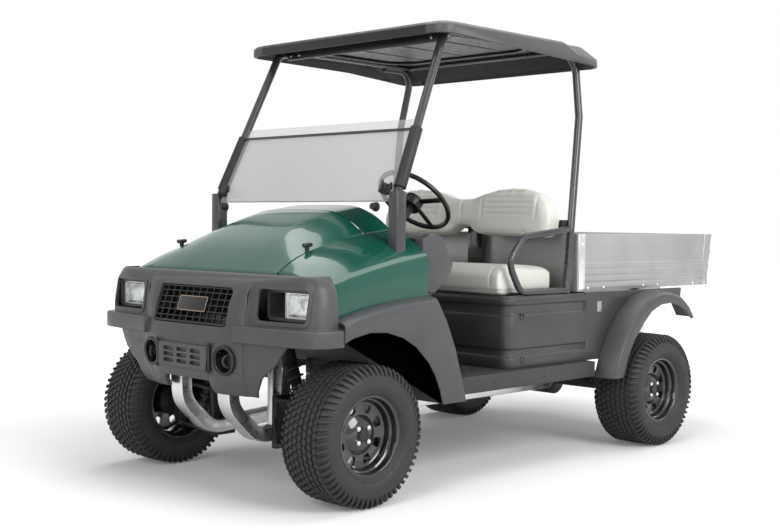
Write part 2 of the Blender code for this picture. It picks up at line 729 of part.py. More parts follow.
def nose_rail(side):
    """The bright rail that runs forward under the nose and curves up behind it."""
    x = side * NOSE_RAIL_SPAN / 2
    low = NOSE_RAIL_LOW
    route = [place(x, RAIL_FRONT + RAIL_WIDTH / 2, RAIL_LEVEL), place(x, NOSE_RAIL_DIP, low + RAIL_WIDTH * 0.75),
             place(x, NOSE_RAIL_TOE, low), place(x, NOSE_RAIL_FRONT + RAIL_WIDTH * 0.4, NOSE_RAIL_KNEE),
             place(x, NOSE_RAIL_FRONT, PLATE_HIGH)]
    return sweep(bend(route, NOSE_RAIL_BEND, 4), rectangle(NOSE_RAIL_DEPTH, NOSE_RAIL_WIDTH), (1, 0, 0))


def bed_mounts(side):
    """The pad that one bed channel rests on, and the pin that it tips about."""
    inner = side * (CHANNEL_OFFSET - CHANNEL_WIDTH / 2)
    hinge = side * (CHANNEL_OFFSET + CHANNEL_WIDTH / 2 + PIN_GAP * 3)
    outer = side * (RAIL_SPAN + RAIL_WIDTH) / 2
    pad_top = BED_FLOOR - CHANNEL_DEPTH - SEAT_GAP
    pad_front = ENGINE_FRONT + BED_PAD_LENGTH
    pad = box((inner, pad_front, KICKED_LEVEL), (outer, pad_front + BED_PAD_LENGTH, pad_top))
    post = box((hinge, BED_HINGE_AFT - RAIL_WIDTH, KICKED_LEVEL), (outer, RAIL_REAR, BED_HINGE_UP + PIN_RADIUS * 2))
    pin = tube([place(inner - side * RIM_GAUGE, BED_HINGE_AFT, BED_HINGE_UP),
                place((hinge + outer) / 2, BED_HINGE_AFT, BED_HINGE_UP)], PIN_RADIUS, 20)
    return [pad, post, pin]


def nose_tower(side):
    """A post over the front axle, on the nose rail."""
    x = side * (NOSE_RAIL_SPAN / 2 - NOSE_RAIL_WIDTH * 0.2)
    half = RAIL_WIDTH / 2
    return box((x - half * 0.8, -half * 1.2, NOSE_RAIL_LOW + NOSE_RAIL_DEPTH / 8), (x + half * 0.8, half * 1.2, TOWER_TOP))


def frame(material):
    member = (RAIL_SPAN, RAIL_WIDTH, MEMBER_DEPTH)
    parts = [side_rail(1), side_rail(-1), nose_rail(1), nose_rail(-1)]
    for share in FLOOR_MEMBER_SHARES:
        parts.append(block(0, between(RAIL_FRONT + RAIL_WIDTH / 2, RAIL_KICK, share), RAIL_LEVEL, member))
    inset = BED_PAD_LENGTH / 2
    for aft in (ENGINE_FRONT + inset, ENGINE_FRONT + ENGINE_LENGTH - inset, BED_HINGE_AFT):
        parts.append(block(0, aft, KICKED_LEVEL, member))
    for side in (-1, 1):
        parts.append(nose_tower(side))
        parts += bed_mounts(side)
    parts.append(block(0, 0, TOWER_TOP - RAIL_WIDTH / 2, (NOSE_RAIL_SPAN * 1.2, RAIL_WIDTH, RAIL_WIDTH)))
    parts.append(block(0, NOSE_RAIL_FRONT, PLATE_HIGH - RAIL_WIDTH / 2, (TOW_EYE_OFFSET * 1.9, RAIL_WIDTH, RAIL_WIDTH)))
    return combine("frame", material, parts)


def engine(material):
    """The engine and its gearcase as one plain block, on two cross members."""
    seat = KICKED_LEVEL + MEMBER_DEPTH / 2 + SEAT_GAP
    half = ENGINE_WIDTH / 2
    rear = ENGINE_FRONT + ENGINE_LENGTH
    inset = BED_PAD_LENGTH / 2 + RAIL_WIDTH
    upper = box((-half, ENGINE_FRONT, seat), (half, rear, BED_FLOOR - ENGINE_DROP))
    lower = box((-half, ENGINE_FRONT + inset, ENGINE_BOTTOM), (half, rear - inset, seat + MEMBER_DEPTH / 2))
    return combine("engine", material, [upper, lower])


def floor_route():
    """Middle line of the floor, the toe board and the firewall, from the seat base forward."""
    middle = FLOOR_HEIGHT - FLOOR_GAUGE / 2
    toe = FLOOR_FRONT - TOE_LENGTH
    knee = (toe, FLOOR_HEIGHT + TOE_RISE)
    top = (toe - FIREWALL_LEAN, FIREWALL_HEIGHT)
    return [(POD_REAR - SILL_WIDTH / 2, middle), (FLOOR_FRONT, middle), knee, top]


def floorboard(material):
    """Floor, sloping toe board, the sills down both sides and the ribs that rest on the rails."""
    width = POD_HALF_WIDTH * 2 - RAIL_WIDTH
    route = [place(0, aft, up) for aft, up in floor_route()]
    parts = [sweep(route, rectangle(FLOOR_GAUGE, width), (1, 0, 0))]
    low = FLOOR_HEIGHT - SILL_DEPTH
    for side in (-1, 1):
        outer = side * (POD_HALF_WIDTH + RAIL_WIDTH)
        sill_end = POD_REAR - SILL_WIDTH / 2
        parts.append(box((outer - side * SILL_WIDTH, SILL_FRONT, low), (outer, sill_end, FLOOR_HEIGHT)))
        x = side * RAIL_SPAN / 2
        rib_end = RAIL_KICK - RAIL_WIDTH
        parts.append(box((x - RAIL_WIDTH / 2, RAIL_FRONT, low), (x + RAIL_WIDTH / 2, rib_end, FLOOR_HEIGHT - FLOOR_GAUGE / 2)))
    return combine("floorboard", material, parts)


# Front bodywork
def body_line(aft):
    """Heights of the centre line, the hood's side seam and the shoulder's crease at a station."""
    if aft <= HOOD_REAR:
        share = (aft - HOOD_FRONT) / HOOD_LENGTH
        centre = between(HOOD_FRONT_HEIGHT, HOOD_REAR_HEIGHT, follow(HOOD_CROWN_SHARES, share))
        seam = between(HOOD_FRONT_HEIGHT, HOOD_SEAM_HEIGHT, follow(HOOD_SEAM_SHARES, share))
    else:
        share = (aft - HOOD_REAR) / (COWL_REAR - HOOD_REAR)
        centre = HOOD_REAR_HEIGHT + COWL_RISE * share
        seam = HOOD_SEAM_HEIGHT + COWL_SEAM_RISE * share
    along = (aft - SHOULDER_FRONT) / (COWL_REAR - SHOULDER_FRONT)
    crease = between(SHOULDER_FRONT_HEIGHT, SHOULDER_REAR_HEIGHT, (1.35 - 0.35 * along) * along)
    return centre, seam, crease


def crown(aft, half_width, drop):
    """The hood's cross-section, from one side to the other: a broad top with a soft crease down each side."""
    centre, seam, _ = body_line(aft)
    right = []
    for share, fall in CROSS_CROWN_SHARES:
        right.append((share * half_width, centre - (centre - seam) * fall - drop))
    return [(-x, up) for x, up in reversed(right[1:])] + right


def shoulder(aft, inset):
    """The left shoulder's cross-section, from the hood seam outwards and down to the flare."""
    _, seam, crease = body_line(aft)
    start = HOOD_HALF_WIDTH + HOOD_GAP
    reach = SHOULDER_HALF_WIDTH - start - inset
    points = [(start + reach * out, between(crease, seam, up) - inset) for out, up in SHOULDER_SHARES]
    side = SHOULDER_HALF_WIDTH - inset
    points.append((side, crease - (seam - crease) * 0.25 - inset))
    points.append((side, arch_line(aft) + SEAT_GAP))
    return points


def arch_line(aft):
    """Height of the front flare's upper edge at a station."""
    share = (aft - SHOULDER_FRONT) / (COWL_REAR - SHOULDER_FRONT)
    return between(FLARE_FRONT_HEIGHT, FLARE_TOP, follow(ARCH_TOP_SHARES, share))


def flank_stations():
    """Stations that the shoulders and the flares share, so that they meet along one line."""
    return [between(SHOULDER_FRONT, COWL_REAR, share) for share, _ in ARCH_TOP_SHARES]


def bent_sheet(stations, section, side=1):
    """A sheet of even wall from cross-sections that a function gives for a station and an inset."""
    rings = []
    for aft in stations:
        ring = section(aft, 0) + list(reversed(section(aft, BODY_GAUGE)))
        rings.append([place(side * x, aft, up) for x, up in ring])
    return loft(rings)


def hood_hinge():
    return place(0, HOOD_REAR - RIM_GAUGE, HOOD_REAR_HEIGHT - BODY_GAUGE / 2)


def hood(material):
    stations = [between(HOOD_FRONT, HOOD_REAR, share) for share, _ in HOOD_CROWN_SHARES]
    sheet = bent_sheet(stations, lambda aft, inset: crown(aft, HOOD_HALF_WIDTH, inset))
    made = combine("hood", material, [sheet])
    pivot(made, hood_hinge())
    return made


def front_body(material):
    """Both shoulders and the cowl that joins them behind the hood."""
    stations = [HOOD_FRONT + HOOD_GAP] + flank_stations()
    parts = [bent_sheet(stations, shoulder, side) for side in (-1, 1)]
    cowl_half = HOOD_HALF_WIDTH + HOOD_GAP * 2
    cowl_stations = [HOOD_REAR + HOOD_GAP, (HOOD_REAR + COWL_REAR) / 2, COWL_REAR]
    parts.append(bent_sheet(cowl_stations, lambda aft, inset: crown(aft, cowl_half, inset)))
    cuts = [front_post(side, SEAT_GAP) for side in (-1, 1)]
    nose = nose_top_edge(PANEL_GAUGE + SEAT_GAP)
    nose += [(NOSE_HALF_WIDTH, -NOSE_OVERHANG), (-NOSE_HALF_WIDTH, -NOSE_OVERHANG)]
    cuts.append(prism(nose, "up", PANEL_BOTTOM, HOOD_REAR_HEIGHT))
    return combine("front_body", material, parts, cuts)


# Nose
def nose_plan(level_share, front, inset=0.0):
    """Plan of the nose's left half at a level, from the middle out and back to the shoulder."""
    width_share = follow(NOSE_WIDTH_SHARES, level_share)
    flat_share = follow(NOSE_FLAT_SHARES, level_share)
    half = NOSE_HALF_WIDTH * width_share
    wrap = SHOULDER_FRONT - SEAT_GAP - front
    points = []
    for out, back in NOSE_PLAN_SHARES:
        back = max(back - flat_share, 0) / (1 - flat_share)
        x = half * out - (inset if back > 0.35 else 0)
        points.append((x, front + wrap * back + inset))
    points[-1] = (half - inset, front + wrap)
    return points


def both_halves(points):
    return [(-x, aft) for x, aft in reversed(points[1:])] + points


def nose_front(level_share):
    """How far forward the middle of the nose is at a level."""
    return between(NOSE_TOP_FRONT, -NOSE_OVERHANG + PLATE_GAUGE, follow(NOSE_FRONT_SHARES, level_share))


def nose_top_edge(inset):
    """Plan of the nose's top edge, from right to left, moved back by an inset."""
    curve = [(x, aft + inset) for x, aft in nose_plan(1, NOSE_TOP_FRONT)]
    end = NOSE_HALF_WIDTH * NOSE_WIDTH_SHARES[-1][1]
    curve[-2:] = [(end - PANEL_GAUGE * 1.5, SHOULDER_FRONT), (SHOULDER_HALF_WIDTH + OVERRUN, SHOULDER_FRONT)]
    return both_halves(curve)


def nose_sheet():
    """The back sheet of the nose: plan curves stacked up its height, with an even wall."""
    rings = []
    for share, _ in NOSE_FRONT_SHARES:
        level = between(PANEL_BOTTOM, NOSE_TOP, share)
        front = nose_front(share) + PANEL_PROUD * follow(PANEL_PROUD_SHARES, share)
        outer = both_halves(nose_plan(share, front))
        inner = both_halves(nose_plan(share, front, PANEL_GAUGE))
        rings.append([place(x, aft, level) for x, aft in outer + list(reversed(inner))])
    sheet = loft(rings)
    bmesh.ops.triangulate(sheet, faces=sheet.faces)
    return sheet


def nose_panel():
    """The centre panel, which stands proud of the sheet between the lamps."""
    rings = []
    for share, _ in NOSE_FRONT_SHARES[:-2]:
        level = between(PANEL_BOTTOM, NOSE_TOP, share)
        front = nose_front(share)
        proud = PANEL_PROUD * follow(PANEL_PROUD_SHARES, share)
        line = nose_plan(share, front)
        plan = [(PANEL_HALF_WIDTH * across, follow(line, PANEL_HALF_WIDTH * across)) for across in PANEL_PLAN_SHARES]
        edge = follow(line, PANEL_HALF_WIDTH)
        plan += [(PANEL_HALF_WIDTH - PANEL_EDGE, edge), (PANEL_HALF_WIDTH, edge + PANEL_EDGE)]
        outer = both_halves(plan)
        back = proud + PANEL_GAUGE / 2
        rings.append([place(x, aft, level) for x, aft in outer + [(x, aft + back) for x, aft in reversed(outer)]])
    sheet = loft(rings)
    bmesh.ops.triangulate(sheet, faces=sheet.faces)
    return sheet


def ledge():
    """The ledge under the lamps, which carries the flare's line round the corner to the centre panel."""
    middle_share = (LEDGE_HEIGHT - LEDGE_DEPTH / 2 - PANEL_BOTTOM) / (NOSE_TOP - PANEL_BOTTOM)
    front = nose_front(middle_share) + PANEL_PROUD
    line = [point for point in nose_plan(middle_share, front) if point[0] > PANEL_HALF_WIDTH * 0.8]
    parts = []
    for side in (-1, 1):
        rings = []
        for index, (x, aft) in enumerate(line):
            near = line[max(index - 1, 0)]
            far = line[min(index + 1, len(line) - 1)]
            run = Vector((far[0] - near[0], far[1] - near[1])).normalized()
            out = Vector((run.y, -run.x))
            if index == len(line) - 1:
                out = Vector((1, 0))
            low = LEDGE_HEIGHT - LEDGE_DEPTH
            section = ((-PANEL_GAUGE / 2, LEDGE_HEIGHT), (LEDGE_PROUD - PANEL_EDGE, LEDGE_HEIGHT),
                       (LEDGE_PROUD, LEDGE_HEIGHT - PANEL_EDGE), (LEDGE_PROUD, low + PANEL_EDGE / 2),
                       (LEDGE_PROUD - PANEL_EDGE / 2, low), (-PANEL_GAUGE / 2, low))
            rings.append([place(side * (x + out.x * off), aft + out.y * off, up) for off, up in section])
        parts.append(loft(rings))
    return parts


def lamp_outline(gap, side):
    outline = rounded((LAMP_IN - gap, LAMP_LOW - gap), (LAMP_OUT + gap, LAMP_HIGH + gap), LAMP_CORNER)
    return mirrored(outline, side)


def wing_cut(side):
    """What is cut away under the ledge round the front wheel."""
    outer = NOSE_HALF_WIDTH + OVERRUN
    low = PANEL_BOTTOM - OVERRUN
    high = LEDGE_HEIGHT - LEDGE_DEPTH - PANEL_EDGE / 2
    outline = spread(WING_CUT_SHARES, (PANEL_HALF_WIDTH * 0.9, PANEL_BOTTOM), (WING_TOP, high))
    outline += [(outer, high), (outer, low), (outline[0][0], low)]
    return mirrored(outline, side)


def fascia(material):
    """The nose with its grille, lamp and tow-eye openings, cut away under the ledge round each wheel."""
    front = -NOSE_OVERHANG - OVERRUN
    back = SHOULDER_FRONT + OVERRUN * 2
    hole = rounded((-GRILLE_HALF_WIDTH, GRILLE_LOW), (GRILLE_HALF_WIDTH, GRILLE_HIGH), GRILLE_CORNER * 0.9)
    notch_top = PANEL_BOTTOM + PANEL_NOTCH_RISE
    notch = [(-PANEL_NOTCH_HALF - PANEL_NOTCH_RISE / 3, PANEL_BOTTOM - OVERRUN), (-PANEL_NOTCH_HALF, notch_top),
             (PANEL_NOTCH_HALF, notch_top), (PANEL_NOTCH_HALF + PANEL_NOTCH_RISE / 3, PANEL_BOTTOM - OVERRUN)]
    cuts = [prism(hole, "aft", front, back), prism(notch, "aft", front, back)]
    for side in (-1, 1):
        cuts.append(prism(lamp_outline(SEAT_GAP, side), "aft", front, back))
        eye = [(side * TOW_EYE_OFFSET + a, TOW_EYE_HEIGHT + b) for a, b in circle(TOW_EYE_RADIUS, 20)]
        cuts.append(prism(eye, "aft", front, back))
        cuts.append(prism(wing_cut(side), "aft", front, 0))
    return combine("fascia", material, [nose_sheet(), nose_panel()] + ledge(), cuts)


def headlamp(name, side, material):
    """A deep rectangular bucket with the lamp unit standing at its outer end."""
    back = LAMP_FRONT + LAMP_DEPTH
    wall = PANEL_GAUGE
    shell = prism(lamp_outline(0, side), "aft", LAMP_FRONT, back)
    pocket = rounded((LAMP_IN + wall, LAMP_LOW + wall), (LAMP_OUT - wall, LAMP_HIGH - wall), LAMP_CORNER * 0.6)
    lens_start = between(LAMP_IN, LAMP_OUT, LENS_SHARE)
    lens = rounded((lens_start, LAMP_LOW + wall), (LAMP_OUT - wall, LAMP_HIGH - wall), LAMP_CORNER / 2)
    hollow = prism(mirrored(pocket, side), "aft", LAMP_FRONT - OVERRUN, back - wall)
    bucket = reread(combine(name, material, [shell], [hollow]))
    unit = prism(mirrored(lens, side), "aft", LAMP_FRONT + LENS_SETBACK, back - wall / 2)
    return combine(name, material, [bucket, unit])


def grille(material):
    """An egg-crate grille on the slope between its two edges."""
    low_share = (GRILLE_LOW - PANEL_BOTTOM) / (NOSE_TOP - PANEL_BOTTOM)
    high_share = (GRILLE_HIGH - PANEL_BOTTOM) / (NOSE_TOP - PANEL_BOTTOM)
    setback = GRILLE_GAUGE * 1.2
    low = place(0, nose_front(low_share) + setback, GRILLE_LOW + GRILLE_GAUGE * 0.2)
    high = place(0, nose_front(high_share) + setback, GRILLE_HIGH - GRILLE_GAUGE * 0.2)
    up = (high - low).normalized()
    out = Vector((1, 0, 0)).cross(up)
    rise = (high - low).length
    half = GRILLE_HALF_WIDTH - SEAT_GAP
    middle = (low + high) / 2
    outline = rounded((-rise / 2, -half), (rise / 2, half), GRILLE_CORNER)
    plate = sweep([middle - out * GRILLE_GAUGE / 2, middle + out * GRILLE_GAUGE / 2], outline, (1, 0, 0))
    pitch = (2 * half - GRILLE_BAR) / GRILLE_COLUMNS
    step = (rise - GRILLE_BAR) / GRILLE_ROWS
    hole = rectangle(step - GRILLE_BAR, pitch - GRILLE_BAR)
    holes = []
    for column in range(GRILLE_COLUMNS):
        for row in range(GRILLE_ROWS):
            across = -half + GRILLE_BAR / 2 + pitch * (column + 0.5)
            spot = low + Vector((across, 0, 0)) + up * (GRILLE_BAR / 2 + step * (row + 0.5))
            holes.append(sweep([spot - out * OVERRUN, spot + out * OVERRUN], hole, (1, 0, 0)))
    return combine("grille", material, [plate], [gather(holes)])


def bumper_plate(material):
    """The slotted plate between the tow eyes."""
    back = -NOSE_OVERHANG + PLATE_GAUGE - SEAT_GAP
    plate = prism(rounded((-PLATE_HALF_WIDTH, PLATE_LOW), (PLATE_HALF_WIDTH, PLATE_HIGH), PLATE_CORNER),
                  "aft", -NOSE_OVERHANG, back)
    half = (PLATE_HALF_WIDTH * 0.21, PLATE_CORNER)
    slots = []
    for column in (-1, 0, 1):
        for row in range(PLATE_SLOT_ROWS):
            x = PLATE_HALF_WIDTH * 0.56 * column
            up = between(PLATE_LOW, PLATE_HIGH, (row + 1) / (PLATE_SLOT_ROWS + 1))
            outline = rounded((x - half[0], up - half[1]), (x + half[0], up + half[1]), PLATE_CORNER / 2, 2)
            slots.append(prism(outline, "aft", -NOSE_OVERHANG - OVERRUN, back + OVERRUN))
    return combine("bumper_plate", material, [plate], [gather(slots)])


# Wheel arches
def flare_band(side, inboard, flat, pairs):
    """A moulded flare from pairs of (outer edge, lip) points: a sloping shelf, a turned edge and an open back."""
    rings = []
    gauge = FLARE_GAUGE
    for edge, lip in pairs:
        edge = Vector(edge)
        lip = Vector(lip)
        inward = (lip - edge).normalized()
        shelf = edge + inward * FLARE_SHELF * 0.4
        turn = edge + inward * FLARE_SHELF
        section = (
            (inboard, edge), (flat, edge), (LEDGE_OUT - FLARE_EDGE, shelf), (LEDGE_OUT, turn), (LEDGE_OUT, lip),
            (LEDGE_OUT - gauge, lip), (LEDGE_OUT - gauge, turn + inward * gauge / 2),
            (LEDGE_OUT - FLARE_EDGE - gauge / 2, shelf + inward * gauge), (flat, edge + inward * gauge),
            (inboard, edge + inward * gauge),
        )
        rings.append([place(side * x, point.x, point.y) for x, point in section])
    return loft(rings)


def arch_point(angle, radius):
    """A point on the front arch, which is centred just behind the axle."""
    return (ARCH_AFT + radius * math.cos(math.radians(angle)), radius * math.sin(math.radians(angle)))


def front_flare(name, side, material):
    """Wheel arch: the outer band, the lip over the tyre and the liner behind it."""
    edges = [(aft, arch_line(aft)) for aft in flank_stations()]
    edges += [(between(COWL_REAR, FLARE_REAR, along), between(FLARE_FOOT, FLARE_TOP, up))
              for along, up, _ in REAR_EDGE_SHARES]
    angles = list(FLANK_LIP_ANGLES) + [angle for _, _, angle in REAR_EDGE_SHARES]
    pairs = [(edge, arch_point(angle, ARCH_RADIUS)) for edge, angle in zip(edges, angles)]
    band = flare_band(side, SHOULDER_HALF_WIDTH - FLARE_SEAT, SHOULDER_HALF_WIDTH, pairs)
    near = [arch_point(angle, ARCH_RADIUS + FLARE_GAUGE / 2) for angle in angles]
    far = [arch_point(angle, ARCH_RADIUS + FLARE_GAUGE * 1.5) for angle in angles]
    liner = prism(near + list(reversed(far)), "x", side * LINER_IN, side * (LEDGE_OUT - FLARE_GAUGE / 2))
    seam = SHOULDER_FRONT + SEAT_GAP
    ahead = [(-NOSE_OVERHANG, -FLARE_TOP), (seam, -FLARE_TOP), (seam, FLARE_TOP * 2), (-NOSE_OVERHANG, FLARE_TOP * 2)]
    return combine(name, material, [band, liner], [prism(ahead, "x", 0, side * (LEDGE_OUT + OVERRUN))])


def rear_flare_points(shares):
    start = WHEELBASE - REAR_FLARE_AHEAD
    return spread(shares, (start, FLARE_FOOT), (start + REAR_FLARE_LENGTH, REAR_FLARE_TOP))


def rear_flare_edges():
    return rear_flare_points(REAR_OUTER_SHARES)


def rear_flare(name, side, material):
    """The flare over the rear wheel, against the side of the seat base."""
    inboard = POD_HALF_WIDTH + SEAT_GAP
    pairs = list(zip(rear_flare_edges(), rear_flare_points(REAR_LIP_SHARES)))
    band = flare_band(side, inboard, inboard + FLARE_EDGE, pairs)
    return combine(name, material, [band])


# Cab
def dash(material):
    """Dashboard: a bent panel behind the cowl with a cheek at each end."""
    front = COWL_REAR + SEAT_GAP
    corner = (front, DASH_TOP)
    far = (front + DASH_DEPTH, DASH_TOP - DASH_DROP)
    route = [place(0, aft, up) for aft, up in spread(DASH_SHARES, corner, far)]
    half = POD_HALF_WIDTH - CHEEK_WIDTH / 2
    panel = sweep(bend(route, PANEL_GAUGE * 1.6), rectangle(PANEL_GAUGE, half * 2), (1, 0, 0))
    cheek = spread(CHEEK_SHARES, corner, far)
    parts = [panel]
    for side in (-1, 1):
        parts.append(prism(cheek, "x", side * (half - RIM_GAUGE), side * (half + CHEEK_WIDTH - RIM_GAUGE)))
    hub = wheel_hub()
    run = column_run()
    hole = tube([hub - run * COLUMN_LENGTH * 1.4, hub], COLUMN_RADIUS + SEAT_GAP, 20)
    return combine("dash", material, parts, [hole])


def wheel_hub():
    return place(HUB_OFFSET, HUB_AFT, HUB_HEIGHT)


def column_run():
    """Direction of the steering column, from its foot up to the driver."""
    return Vector((0, math.cos(COLUMN_TILT), math.sin(COLUMN_TILT)))


def steering_wheel(material):
    hub = wheel_hub()
    run = column_run()
    profile = [(a, WHEEL_RADIUS + b) for a, b in circle(WHEEL_GRIP, 6)]
    ring = revolve(profile, hub, run, 28)
    boss = tube([hub - run * WHEEL_GRIP * 3.4, hub + run * WHEEL_GRIP * 0.4], BOSS_RADIUS, 16)
    parts = [ring, boss]
    across = Vector((1, 0, 0))
    uphill = across.cross(run)
    for angle in (0, 180, 270):
        spoke = across * math.cos(math.radians(angle)) + uphill * math.sin(math.radians(angle))
        route = [hub - run * WHEEL_GRIP, hub + spoke * WHEEL_RADIUS]
        parts.append(sweep(route, rectangle(COLUMN_RADIUS, WHEEL_GRIP * 0.7), run))
    made = combine("steering_wheel", material, parts)
    pivot(made, hub)
    return made


def steering_column(material):
    hub = wheel_hub()
    run = column_run()
    head = hub - run * (WHEEL_GRIP * 3.4 + SEAT_GAP * 3)
    return combine("steering_column", material, [tube([hub - run * COLUMN_LENGTH, head], COLUMN_RADIUS, 20)])


def pedals(material):
    """Brake and accelerator, hung on one bar across the firewall."""
    knee, top = [Vector((aft, up)) for aft, up in floor_route()[2:]]
    slope = (top - knee).normalized()
    rest = knee + (top - knee) * PEDAL_BAR_SHARE
    bar = rest + Vector((slope.y, -slope.x)) * (FLOOR_GAUGE / 2 + PEDAL_GAUGE + SEAT_GAP)
    ends = (BRAKE_OFFSET - BRAKE_WIDTH / 2, THROTTLE_OFFSET + THROTTLE_WIDTH / 2)
    parts = [tube([place(x, bar.x, bar.y) for x in ends], PEDAL_GAUGE, 12)]
    foot = bar + Vector((PEDAL_LENGTH * 0.62, -PEDAL_LENGTH * 0.55))
    for x, width in ((BRAKE_OFFSET, BRAKE_WIDTH), (THROTTLE_OFFSET, THROTTLE_WIDTH)):
        arm = [place(x, bar.x, bar.y), place(x, foot.x, bar.y - PEDAL_GAUGE), place(x, foot.x, foot.y)]
        parts.append(sweep(bend(arm, PEDAL_GAUGE * 3), rectangle(PEDAL_GAUGE, PEDAL_GAUGE * 2), (1, 0, 0)))
        half = PEDAL_LENGTH * 0.2
        pad = [place(x, foot.x + half * 0.7, foot.y - half), place(x, foot.x - half * 0.3, foot.y + half)]
        parts.append(sweep(pad, rectangle(PEDAL_GAUGE * 1.5, width), (1, 0, 0)))
    return combine("pedals", material, parts)


# Seat base and seats
def pod_ring(inset, up):
    outline = rounded((-POD_HALF_WIDTH + inset, POD_FRONT + inset), (POD_HALF_WIDTH - inset, POD_REAR - inset),
                      POD_CORNER, 4)
    return [place(x, aft, up) for x, aft in outline]


def pod_wing(side, low):
    """The side panel behind the seat base, which runs out under the rear flare."""
    lap = POD_WING_LAP
    edge = [(aft + lap, up) for aft, up in rear_flare_edges() if low < up < POD_HEIGHT - lap]
    outline = [(POD_REAR - POD_CORNER, low), (edge[0][0], low)] + edge
    outline += [(edge[-1][0] + lap, POD_HEIGHT), (POD_REAR - POD_CORNER, POD_HEIGHT)]
    return prism(outline, "x", side * (POD_HALF_WIDTH - POD_WALL), side * POD_HALF_WIDTH)


def seat_pod(material):
    """The moulded box under the seat, with bands round its sides, and open above and below."""
    wall = POD_WALL
    low = FLOOR_HEIGHT + SEAT_GAP
    bands = [pod_ring(POD_RELIEF * relief, between(low, POD_HEIGHT, up)) for up, relief in POD_BAND_SHARES]
    parts = [loft(bands)] + [pod_wing(side, low) for side in (-1, 1)]
    inner = rounded((-POD_HALF_WIDTH + wall, POD_FRONT + wall), (POD_HALF_WIDTH - wall, POD_REAR - wall),
                    POD_CORNER - wall / 2, 4)
    opening = rounded((-POD_HALF_WIDTH + wall * 4, POD_FRONT + wall * 4),
                      (POD_HALF_WIDTH - wall * 4, POD_REAR - POD_SHELF), POD_CORNER, 4)
    cuts = [prism(inner, "up", low - OVERRUN, POD_HEIGHT - wall), prism(opening, "up", low, POD_HEIGHT + OVERRUN)]
    return combine("seat_pod", material, parts, cuts)


def seat_hinge():
    return place(0, POD_FRONT, POD_HEIGHT + SEAT_GAP)


def seat_bottom(material):
    """One bench cushion, deeper at its rolled front."""
    low = POD_HEIGHT + SEAT_GAP
    side_view = spread(SEAT_SIDE_SHARES, (SEAT_FRONT, low), (SEAT_FRONT + SEAT_LENGTH, low + SEAT_THICKNESS))
    made = mesh_object("seat_bottom", prism(side_view, "x", -SEAT_HALF_WIDTH, SEAT_HALF_WIDTH), material)
    pivot(made, seat_hinge())
    return made


def seat_back(material):
    """Seat back with a hump behind each place and a notch at its foot."""
    right = spread(BACK_SHARES, (0, BACK_LOW), (SEAT_HALF_WIDTH, BACK_LOW + BACK_HEIGHT))
    outline = right + [(-x, up) for x, up in reversed(right[1:-1])]
    level = BACK_LOW + BACK_HEIGHT * BACK_BAR_SHARE
    _, bar_aft = rear_strut_at(level)
    rest_aft = bar_aft - BACK_BAR_GAUGE - SEAT_GAP - BACK_BAR_HEIGHT / 2 * math.tan(BACK_TILT)
    made = mesh_object("seat_back", prism(outline, "aft", rest_aft - BACK_THICKNESS, rest_aft), material)
    middle = place(0, rest_aft, level)
    lean = Matrix.Rotation(-BACK_TILT, 4, "X")
    made.data.transform(Matrix.Translation(middle) @ lean @ Matrix.Translation(-middle))
    return made


def rear_strut_at(up):
    """Where the middle of the left rear strut is at a height."""
    share = (up - POD_HEIGHT) / (CANOPY_LOW - POD_HEIGHT)
    x = REAR_STRUT_SPREAD + (STRUT_TOP_SPREAD - REAR_STRUT_SPREAD) * max(share * 4 - 3, 0)
    return x, REAR_STRUT_AFT + REAR_STRUT_LEAN * share


def seat_back_bracket(material):
    """Flat bar between the rear struts that the seat back is bolted to, on a post from the seat base."""
    level = BACK_LOW + BACK_HEIGHT * BACK_BAR_SHARE
    x, aft = rear_strut_at(level)
    reach = x - STRUT_RADIUS - SEAT_GAP
    half = BACK_BAR_HEIGHT / 2
    front = aft - BACK_BAR_GAUGE
    foot_up = POD_HEIGHT + SEAT_GAP
    bar = box((-reach, front, level - half), (reach, aft, level + half))
    post = box((-BACK_BAR_HEIGHT, front, foot_up), (BACK_BAR_HEIGHT, aft, level))
    foot = box((-BACK_BAR_HEIGHT, front, foot_up), (BACK_BAR_HEIGHT, aft + half, foot_up + BACK_BAR_GAUGE * 0.8))
    return combine("seat_back_bracket", material, [bar, post, foot])


# Canopy and its struts
def front_strut_at(up):
    """Where the middle of the left front strut is at a height."""
    share = (up - KNEE_HEIGHT) / (CANOPY_LOW - KNEE_HEIGHT)
    return between(STRUT_SPREAD, STRUT_TOP_SPREAD, share), STRUT_AFT + STRUT_LEAN * share


def front_post(side, gap):
    """The boxed post, which stands in a slot in the shoulder."""
    x = side * STRUT_SPREAD
    half = (POST_WIDTH / 2 + gap, POST_DEPTH / 2 + gap)
    return box((x - half[0], STRUT_AFT - half[1], POST_BASE), (x + half[0], STRUT_AFT + half[1], KNEE_HEIGHT + STRUT_RADIUS))


def front_strut(name, side, material):
    """A boxed post up to the knee, then a round tube that leans back and bends under the canopy."""
    route = []
    for up in (KNEE_HEIGHT - RUN_GAP, STRUT_LEVEL):
        x, aft = front_strut_at(up)
        route.append(place(side * x, aft, up))
    route.append(route[-1] + Vector((0, STRUT_TAIL, 0)))
    upper = tube(bend(route, STRUT_BEND), STRUT_RADIUS, 12, (1, 0, 0))
    return combine(name, material, [front_post(side, 0), upper])


def hip_loop(side, foot_x, foot_aft):
    """The bent rail beside the seat, from the strut forward, down and back along the seat base."""
    low = POD_HEIGHT + SEAT_GAP + LOOP_RADIUS
    high = POD_HEIGHT + LOOP_RISE
    _, top_aft = rear_strut_at(high)
    front = POD_FRONT + SEAT_GAP
    line = [(top_aft, high)] + spread(LOOP_SHARES, (front, low), (top_aft, high))[1:-1] + [(foot_aft, low)]
    return tube(bend([place(side * foot_x, aft, up) for aft, up in line], LOOP_BEND), LOOP_RADIUS, 10, (1, 0, 0))


